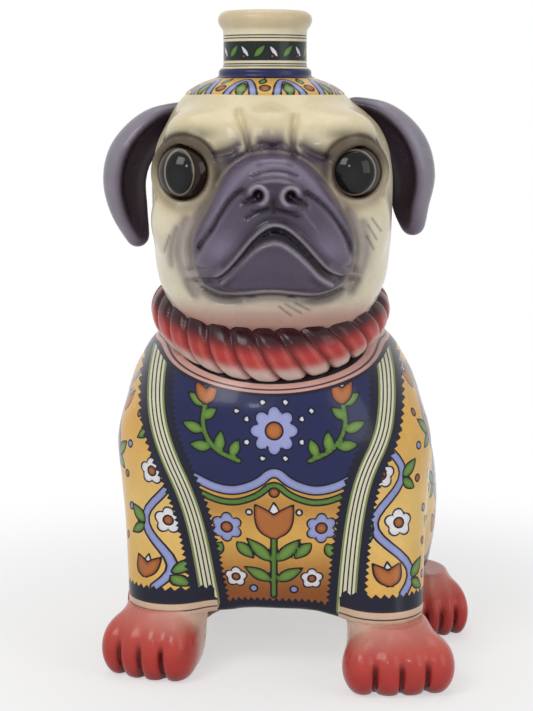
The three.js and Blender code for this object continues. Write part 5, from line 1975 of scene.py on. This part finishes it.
@dataclass
class Neck:
    """Painted cap, ring, straight neck and rolled lip, turned in one piece round the bore."""

    outline: Line = (
        (0.0, 241.0), (10.6, 241.0), (11.0, 241.5), (11.0, 266.8), (11.5, 268.4), (12.8, 269.5), (14.6, 270.0),
        (16.4, 269.9), (18.0, 269.2), (19.2, 267.9), (19.6, 266.3), (19.3, 264.7), (18.5, 263.4), (17.7, 262.4),
        (17.3, 261.0), (17.3, 247.6), (17.7, 246.6), (18.9, 246.0), (19.4, 244.9), (19.2, 243.8), (19.6, 243.0),
        (22.5, 242.0), (26.5, 240.6), (30.0, 238.8), (32.8, 236.8), (33.4, 235.6), (32.8, 234.9), (0.0, 234.9),
    )
    steps: int = 256
    grain: float = 0.7

    def build(self) -> Piece:
        """Turn the neck on its axis.

        Returns:
            The finished piece, without its painting.
        """
        corners = np.array(rounded(self.outline, 2))
        run = np.concatenate([[0.0], np.cumsum(np.hypot(*np.diff(corners, axis=0).T))])
        even = np.linspace(0.0, run[-1], int(run[-1] / self.grain))
        points = np.stack([np.interp(even, run, corners[:, k]) for k in (0, 1)], axis=1)
        mesh = bpy.data.meshes.new("neck_piece")
        places = [(r * MM, 0.0, z * MM) for r, z in points]
        mesh.from_pydata(places, [(k, k + 1) for k in range(len(places) - 1)], [])
        neck = bpy.data.objects.new("neck_piece", mesh)
        bpy.context.scene.collection.objects.link(neck)
        neck.location = AXIS
        select_only(neck)
        turning = neck.modifiers.new("turning", "SCREW")
        turning.steps = self.steps
        turning.render_steps = self.steps
        turning.use_merge_vertices = True
        turning.merge_threshold = 1e-5
        bpy.ops.object.modifier_apply(modifier=turning.name)
        bpy.ops.object.transform_apply(location=True, rotation=True, scale=True)
        weld(neck, 1e-6)
        bpy.ops.object.shade_smooth_by_angle(angle=math.radians(50))
        return neck

    def dress(self, neck: Piece) -> None:
        """Paint the lines and bands, the leaves on the dark band and the cap's ornament.

        Args:
            neck: The turned neck.
        """
        x, y, z = places_of(neck).T
        reach = np.hypot(x, y)
        outer = (reach > 12.2) & (z > 235.2)
        paint(neck, "level", np.where(outer, z, 200.0))
        paint(neck, "lip", smooth_step(z, 261.0, 266.0))
        angle = np.arctan2(x, -y)
        cap = Ornament(angle * 26.0, reach)
        for k in range(10):
            u = (k - 4.5) * 26.0 * math.pi / 5
            petal = [(u - 4.6, 34.0), (u - 3.0, 27.0), (u, 22.6), (u + 3.0, 27.0), (u + 4.6, 34.0)]
            cap.stroke(Pigment.LAVENDER, petal, 1.25)
            cap.leaf(Pigment.GREEN, (u, 34.0), (u, 26.4), 1.9)
            cap.disc(Pigment.RUST, u + 26.0 * math.pi / 10, 30.2, 1.8)
            cap.leaf(Pigment.GREEN, (u + 6.6, 27.6), (u + 8.2, 21.6), 1.5)
        cap.keep_where(np.where(outer & (z < 242.9), 1.0, -1.0))
        band = Ornament(angle * 17.3, z)
        for k in range(9):
            u = (k - 4.0) * 17.3 * 2 * math.pi / 9
            band.leaf(Pigment.GREEN, (u - 4.6, 250.8), (u + 0.6, 256.2), 1.5)
            band.leaf(Pigment.PALE, (u + 5.4, 250.8), (u + 1.4, 256.0), 1.1)
            band.disc(Pigment.RUST, u + 3.0, 251.2, 0.9)
        band.keep_where(np.where(outer & (np.abs(z - 253.4) < 3.7), 1.0, -1.0))
        cap.take_over(band)
        cap.put_on(neck)
        NECK_GLAZE.apply(neck)


@dataclass(frozen=True)
class CorkBark:
    """Punched natural cork: warm grain with dark pores and a dry matte face."""

    name: str = "natural_cork_punched"
    light: str = "#c79a63"
    dark: str = "#8a5f37"

    def apply(self, piece: Piece) -> None:
        """Give a piece this finish.

        Args:
            piece: The piece to cover.
        """
        tree, shader = start_material(piece, self.name)
        coords = add_node(tree, "ShaderNodeTexCoord").outputs["Object"]
        grain = add_node(tree, "ShaderNodeTexNoise", links={"Vector": coords},
                         values={"Scale": 1.0 / (3.0 * MM), "Detail": 6.0, "Roughness": 0.7})
        shade = add_node(tree, "ShaderNodeMix", {"data_type": "RGBA"}, {0: grain.outputs["Fac"]},
                         {6: linear(self.dark), 7: linear(self.light)})
        pores = add_node(tree, "ShaderNodeTexVoronoi", links={"Vector": coords}, values={"Scale": 1.0 / (2.4 * MM)})
        hole = add_node(tree, "ShaderNodeMapRange", links={0: pores.outputs["Distance"]},
                        values={1: 0.10, 2: 0.24, 3: 1.0, 4: 0.0})
        spotted = add_node(tree, "ShaderNodeMix", {"data_type": "RGBA"}, {0: hole.outputs[0], 6: shade.outputs[2]},
                           {7: linear("#4a2f1b")})
        tree.links.new(spotted.outputs[2], shader.inputs["Base Color"])
        bump = add_node(tree, "ShaderNodeBump", links={"Height": pores.outputs["Distance"]},
                        values={"Strength": 0.4, "Distance": 0.3 * MM})
        tree.links.new(bump.outputs["Normal"], shader.inputs["Normal"])
        shader.inputs["Roughness"].default_value = 0.85


@dataclass
class Cork:
    """The straight cork pressed into the bore, just below the lip."""

    radius: float = 10.7
    low: float = 245.0
    high: float = 269.0
    chamfer: float = 1.0

    def build(self) -> Piece:
        """Cut the cork and round its edges.

        Returns:
            The finished piece, without its finish.
        """
        bpy.ops.object.select_all(action="DESELECT")
        middle = Vector((0.0, 0.0, (self.low + self.high) / 2)) * MM + AXIS
        bpy.ops.mesh.primitive_cylinder_add(vertices=96, radius=self.radius * MM, depth=(self.high - self.low) * MM,
                                            location=middle)
        cork = bpy.context.active_object
        cork.name = "cork_piece"
        bpy.ops.object.transform_apply(location=True, rotation=True, scale=True)
        bevel = cork.modifiers.new("rubbed_edges", "BEVEL")
        bevel.width = self.chamfer * MM
        bevel.segments = 4
        bpy.ops.object.modifier_apply(modifier=bevel.name)
        bpy.ops.object.shade_smooth_by_angle(angle=math.radians(40))
        return cork

    def dress(self, cork: Piece) -> None:
        """Leave the cork as it was punched."""
        CorkBark().apply(cork)


@dataclass
class Tail:
    """The curled tail that lies on the rump."""

    middle: Point = (13.5, 71.0, 50.0)
    curl: tuple[float, float] = (10.0, 2.2)
    thickness: tuple[float, float] = (6.4, 3.6)
    windings: float = 1.35
    grain: float = 0.8

    def build(self) -> Piece:
        """Roll the tail up.

        Returns:
            The finished piece, without its painting.
        """
        clay = Clay((-6.0, 55.0, 28.0), (33.0, 84.0, 72.0), self.grain)
        steps = 22
        form = None
        for k in range(steps):
            ends = []
            for share in (k / steps, (k + 1) / steps):
                angle = -math.pi / 2 + share * self.windings * 2 * math.pi
                reach = self.curl[0] + (self.curl[1] - self.curl[0]) * share
                rise = 3.2 * share - 4.0 * (1.0 - share) ** 3
                ends.append((self.middle[0] + reach * math.cos(angle), self.middle[1] + rise,
                             self.middle[2] + reach * math.sin(angle)))
            radii = [self.thickness[0] + (self.thickness[1] - self.thickness[0]) * s / steps for s in (k, k + 1)]
            part = clay.limb(ends[0], ends[1], radii[0], radii[1])
            form = part if form is None else join(form, part, 0.9)
        behind = smooth_step(clay.y, 69.0, 72.0)
        return clay.cast("tail", form + 1.3 * self.cleft(clay.x, clay.z) * behind, smoothing=2)

    def cleft(self, x: Field, z: Field) -> Field:
        """The line between the coils, seen from behind.

        Args:
            x: Places across.
            z: Heights.

        Returns:
            Amounts from 0 to 1.
        """
        across, rise = x - self.middle[0], z - self.middle[2]
        angle = np.mod(np.arctan2(rise, across) + math.pi / 2, 2 * math.pi)
        share = angle / (2 * math.pi * self.windings)
        reach = self.curl[0] + (self.curl[1] - self.curl[0]) * share
        reach = reach - 0.8 * (self.thickness[0] + (self.thickness[1] - self.thickness[0]) * share)
        return np.exp(-(((np.hypot(across, rise) - reach) / 1.0) ** 2))

    def dress(self, tail: Piece) -> None:
        """Shade the cleft between the coils.

        Args:
            tail: The cast tail.
        """
        x, y, z = places_of(tail).T
        line = self.cleft(x, z) * smooth_step(y, 66.0, 72.0)
        edge = 0.4 * smooth_step(np.hypot(x - self.middle[0], z - self.middle[2]), 9.0, 16.0)
        # Brown in the cleft and where the tail lies against the rump is painted shade; the outer edge is browner.
        paint(tail, "coil", np.clip(line + edge + smooth_step(y, 70.0, 64.0), 0.0, 1.0))
        TAIL_GLAZE.apply(tail)


# Stage


@dataclass
class Studio:
    """White table, soft lights and the camera at the photograph's angle."""

    camera_place: Point = (0.6, -700.0, 240.0)
    camera_pitch: float = 9.3
    focal_pixels: float = 1657.0
    frame_pixels: tuple[int, int] = (533, 711)

    def camera(self) -> None:
        """Set up the camera."""
        data = bpy.data.cameras.new("camera")
        data.sensor_fit = "VERTICAL"
        data.angle = 2 * math.atan(self.frame_pixels[1] / 2 / self.focal_pixels)
        data.clip_start = 0.01
        camera = bpy.data.objects.new("camera", data)
        camera.location = Vector(self.camera_place) * MM + AXIS
        camera.rotation_euler = (math.radians(90 - self.camera_pitch), 0.0, 0.0)
        bpy.context.scene.collection.objects.link(camera)
        bpy.context.scene.camera = camera

    def lamp(self, name: str, place: Point, size: tuple[float, float], power: float, aim: Point) -> None:
        """Hang one soft box.

        Args:
            name: Name of the lamp.
            place: Its place in metres.
            size: Its width and height in metres.
            power: Its power in watts.
            aim: The point it faces, in metres.
        """
        data = bpy.data.lights.new(name, "AREA")
        data.shape = "RECTANGLE"
        data.size, data.size_y = size
        data.energy = power
        light = bpy.data.objects.new(name, data)
        light.location = place
        light.rotation_euler = (Vector(aim) - Vector(place)).to_track_quat("-Z", "Y").to_euler()
        bpy.context.scene.collection.objects.link(light)

    def seen_rays(self, tree: Tree) -> Socket:
        """Tell the rays that show the backdrop from those that only light the piece.

        Args:
            tree: The node tree to work in.

        Returns:
            1 for what is seen directly, in a reflection or through glass, and 0 otherwise.
        """
        path = add_node(tree, "ShaderNodeLightPath")
        seen = add_node(tree, "ShaderNodeMath", {"operation": "MAXIMUM"}, {0: path.outputs["Is Camera Ray"],
                                                                         1: path.outputs["Is Glossy Ray"]})
        seen = add_node(tree, "ShaderNodeMath", {"operation": "MAXIMUM"}, {0: seen.outputs[0],
                                                                         1: path.outputs["Is Transmission Ray"]})
        return seen.outputs[0]

    def backdrop(self) -> None:
        """Lay the white floor and set the even light around it."""
        bpy.ops.object.select_all(action="DESELECT")
        bpy.ops.mesh.primitive_plane_add(size=6.0, location=(0.0, 0.0, -0.0004))
        floor = bpy.context.active_object
        floor.name = "floor"
        bpy.ops.object.transform_apply(location=True, rotation=True, scale=True)
        tree, shader = start_material(floor, "white_card_matte")
        shader.inputs["Base Color"].default_value = linear("#f4f4f4")
        shader.inputs["Roughness"].default_value = 0.9
        coords = add_node(tree, "ShaderNodeTexCoord")
        reach = add_node(tree, "ShaderNodeVectorMath", {"operation": "LENGTH"}, {0: coords.outputs["Object"]})
        far = add_node(tree, "ShaderNodeMapRange", {"interpolation_type": "SMOOTHSTEP"}, {0: reach.outputs["Value"]},
                       {"From Min": 0.10, "From Max": 0.30, "To Min": 0.55, "To Max": 1.0})
        seen = add_node(tree, "ShaderNodeMath", {"operation": "MULTIPLY"}, {0: self.seen_rays(tree),
                                                                          1: far.outputs["Result"]})
        white = add_node(tree, "ShaderNodeEmission", values={"Color": WHITE, "Strength": 1.0})
        mix = add_node(tree, "ShaderNodeMixShader",
                       links={0: seen.outputs[0], 1: shader.outputs[0], 2: white.outputs[0]})
        output = next(n for n in tree.nodes if n.type == "OUTPUT_MATERIAL")
        tree.links.new(mix.outputs[0], output.inputs["Surface"])
        world = bpy.data.worlds.new("studio")
        world.use_nodes = True
        tree = world.node_tree
        tree.nodes.clear()
        fill = add_node(tree, "ShaderNodeBackground", values={"Color": WHITE, "Strength": 0.36})
        white = add_node(tree, "ShaderNodeBackground", values={"Color": WHITE, "Strength": 1.0})
        mix = add_node(tree, "ShaderNodeMixShader", links={0: self.seen_rays(tree), 1: fill.outputs[0],
                                                           2: white.outputs[0]})
        add_node(tree, "ShaderNodeOutputWorld", links={"Surface": mix.outputs[0]})
        bpy.context.scene.world = world

    def build(self) -> None:
        """Set up camera, lights and backdrop."""
        bpy.context.scene.view_settings.view_transform = "Standard"
        self.camera()
        self.backdrop()
        self.lamp("key", (-0.55, -0.75, 0.95), (0.5, 0.5), 5.2, (0.0, 0.0, 0.13))
        self.lamp("spark", (-0.16, -0.95, 0.62), (0.09, 0.09), 0.6, (0.0, 0.0, 0.2))
        self.lamp("fill", (0.8, -0.6, 0.5), (0.5, 0.7), 2.2, (0.0, 0.0, 0.13))
        self.lamp("top", (0.0, 0.25, 1.1), (0.6, 0.6), 2.2, (0.0, 0.0, 0.1))


class Slot(Enum):
    """The record's material slots."""

    COAT = "painted_glaze"
    CREAM = "cream_glaze"
    RED = "red_glaze"
    MAUVE = "mauve_glaze"
    BLACK = "black_glaze"
    CORK = "cork"


class Body(Enum):
    """The bodies that pieces ride on."""

    BOTTLE = "bottle"
    STOPPER = "stopper"


class Work(Protocol):
    """Something that is built and then dressed."""

    def build(self) -> Piece:
        """Make the piece, without its finish."""

    def dress(self, piece: Piece, /) -> None:
        """Give the piece its finish."""


@dataclass(frozen=True)
class Order:
    """One piece to make: its maker, its slot, the CAD nodes it stands for and the body it rides on."""

    work: Work
    slot: Slot
    nodes: tuple[str, ...]
    body: Body = Body.BOTTLE


def main() -> None:
    """Build and dress every piece in order and hand it to the frame."""
    logging.basicConfig(level=logging.INFO, format="%(message)s")
    Studio().build()
    orders = [
        Order(BodyCasting(), Slot.COAT, ("body_shell",)),
        Order(HeadCasting(), Slot.CREAM, ("head_shell", "muzzle")),
        *(Order(eye, Slot.BLACK, (eye.node,)) for eye in EYES),
        *(Order(ear, Slot.MAUVE, (ear.node,)) for ear in EARS),
        Order(RopeCollar(), Slot.RED, ("rope_collar",)),
        *(Order(paw, Slot.RED, (paw.node,)) for paw in PAWS),
        Order(Neck(), Slot.CREAM, ("neck",)),
        Order(Tail(), Slot.CREAM, ("tail",)),
        Order(Cork(), Slot.CORK, ("cork",), Body.STOPPER),
    ]
    for order in orders:
        piece = order.work.build()
        piece.name = order.nodes[0] + "_piece"
        order.work.dress(piece)
        hand_over(piece, order.body.value, order.nodes)


if __name__ == "__main__":
    main()
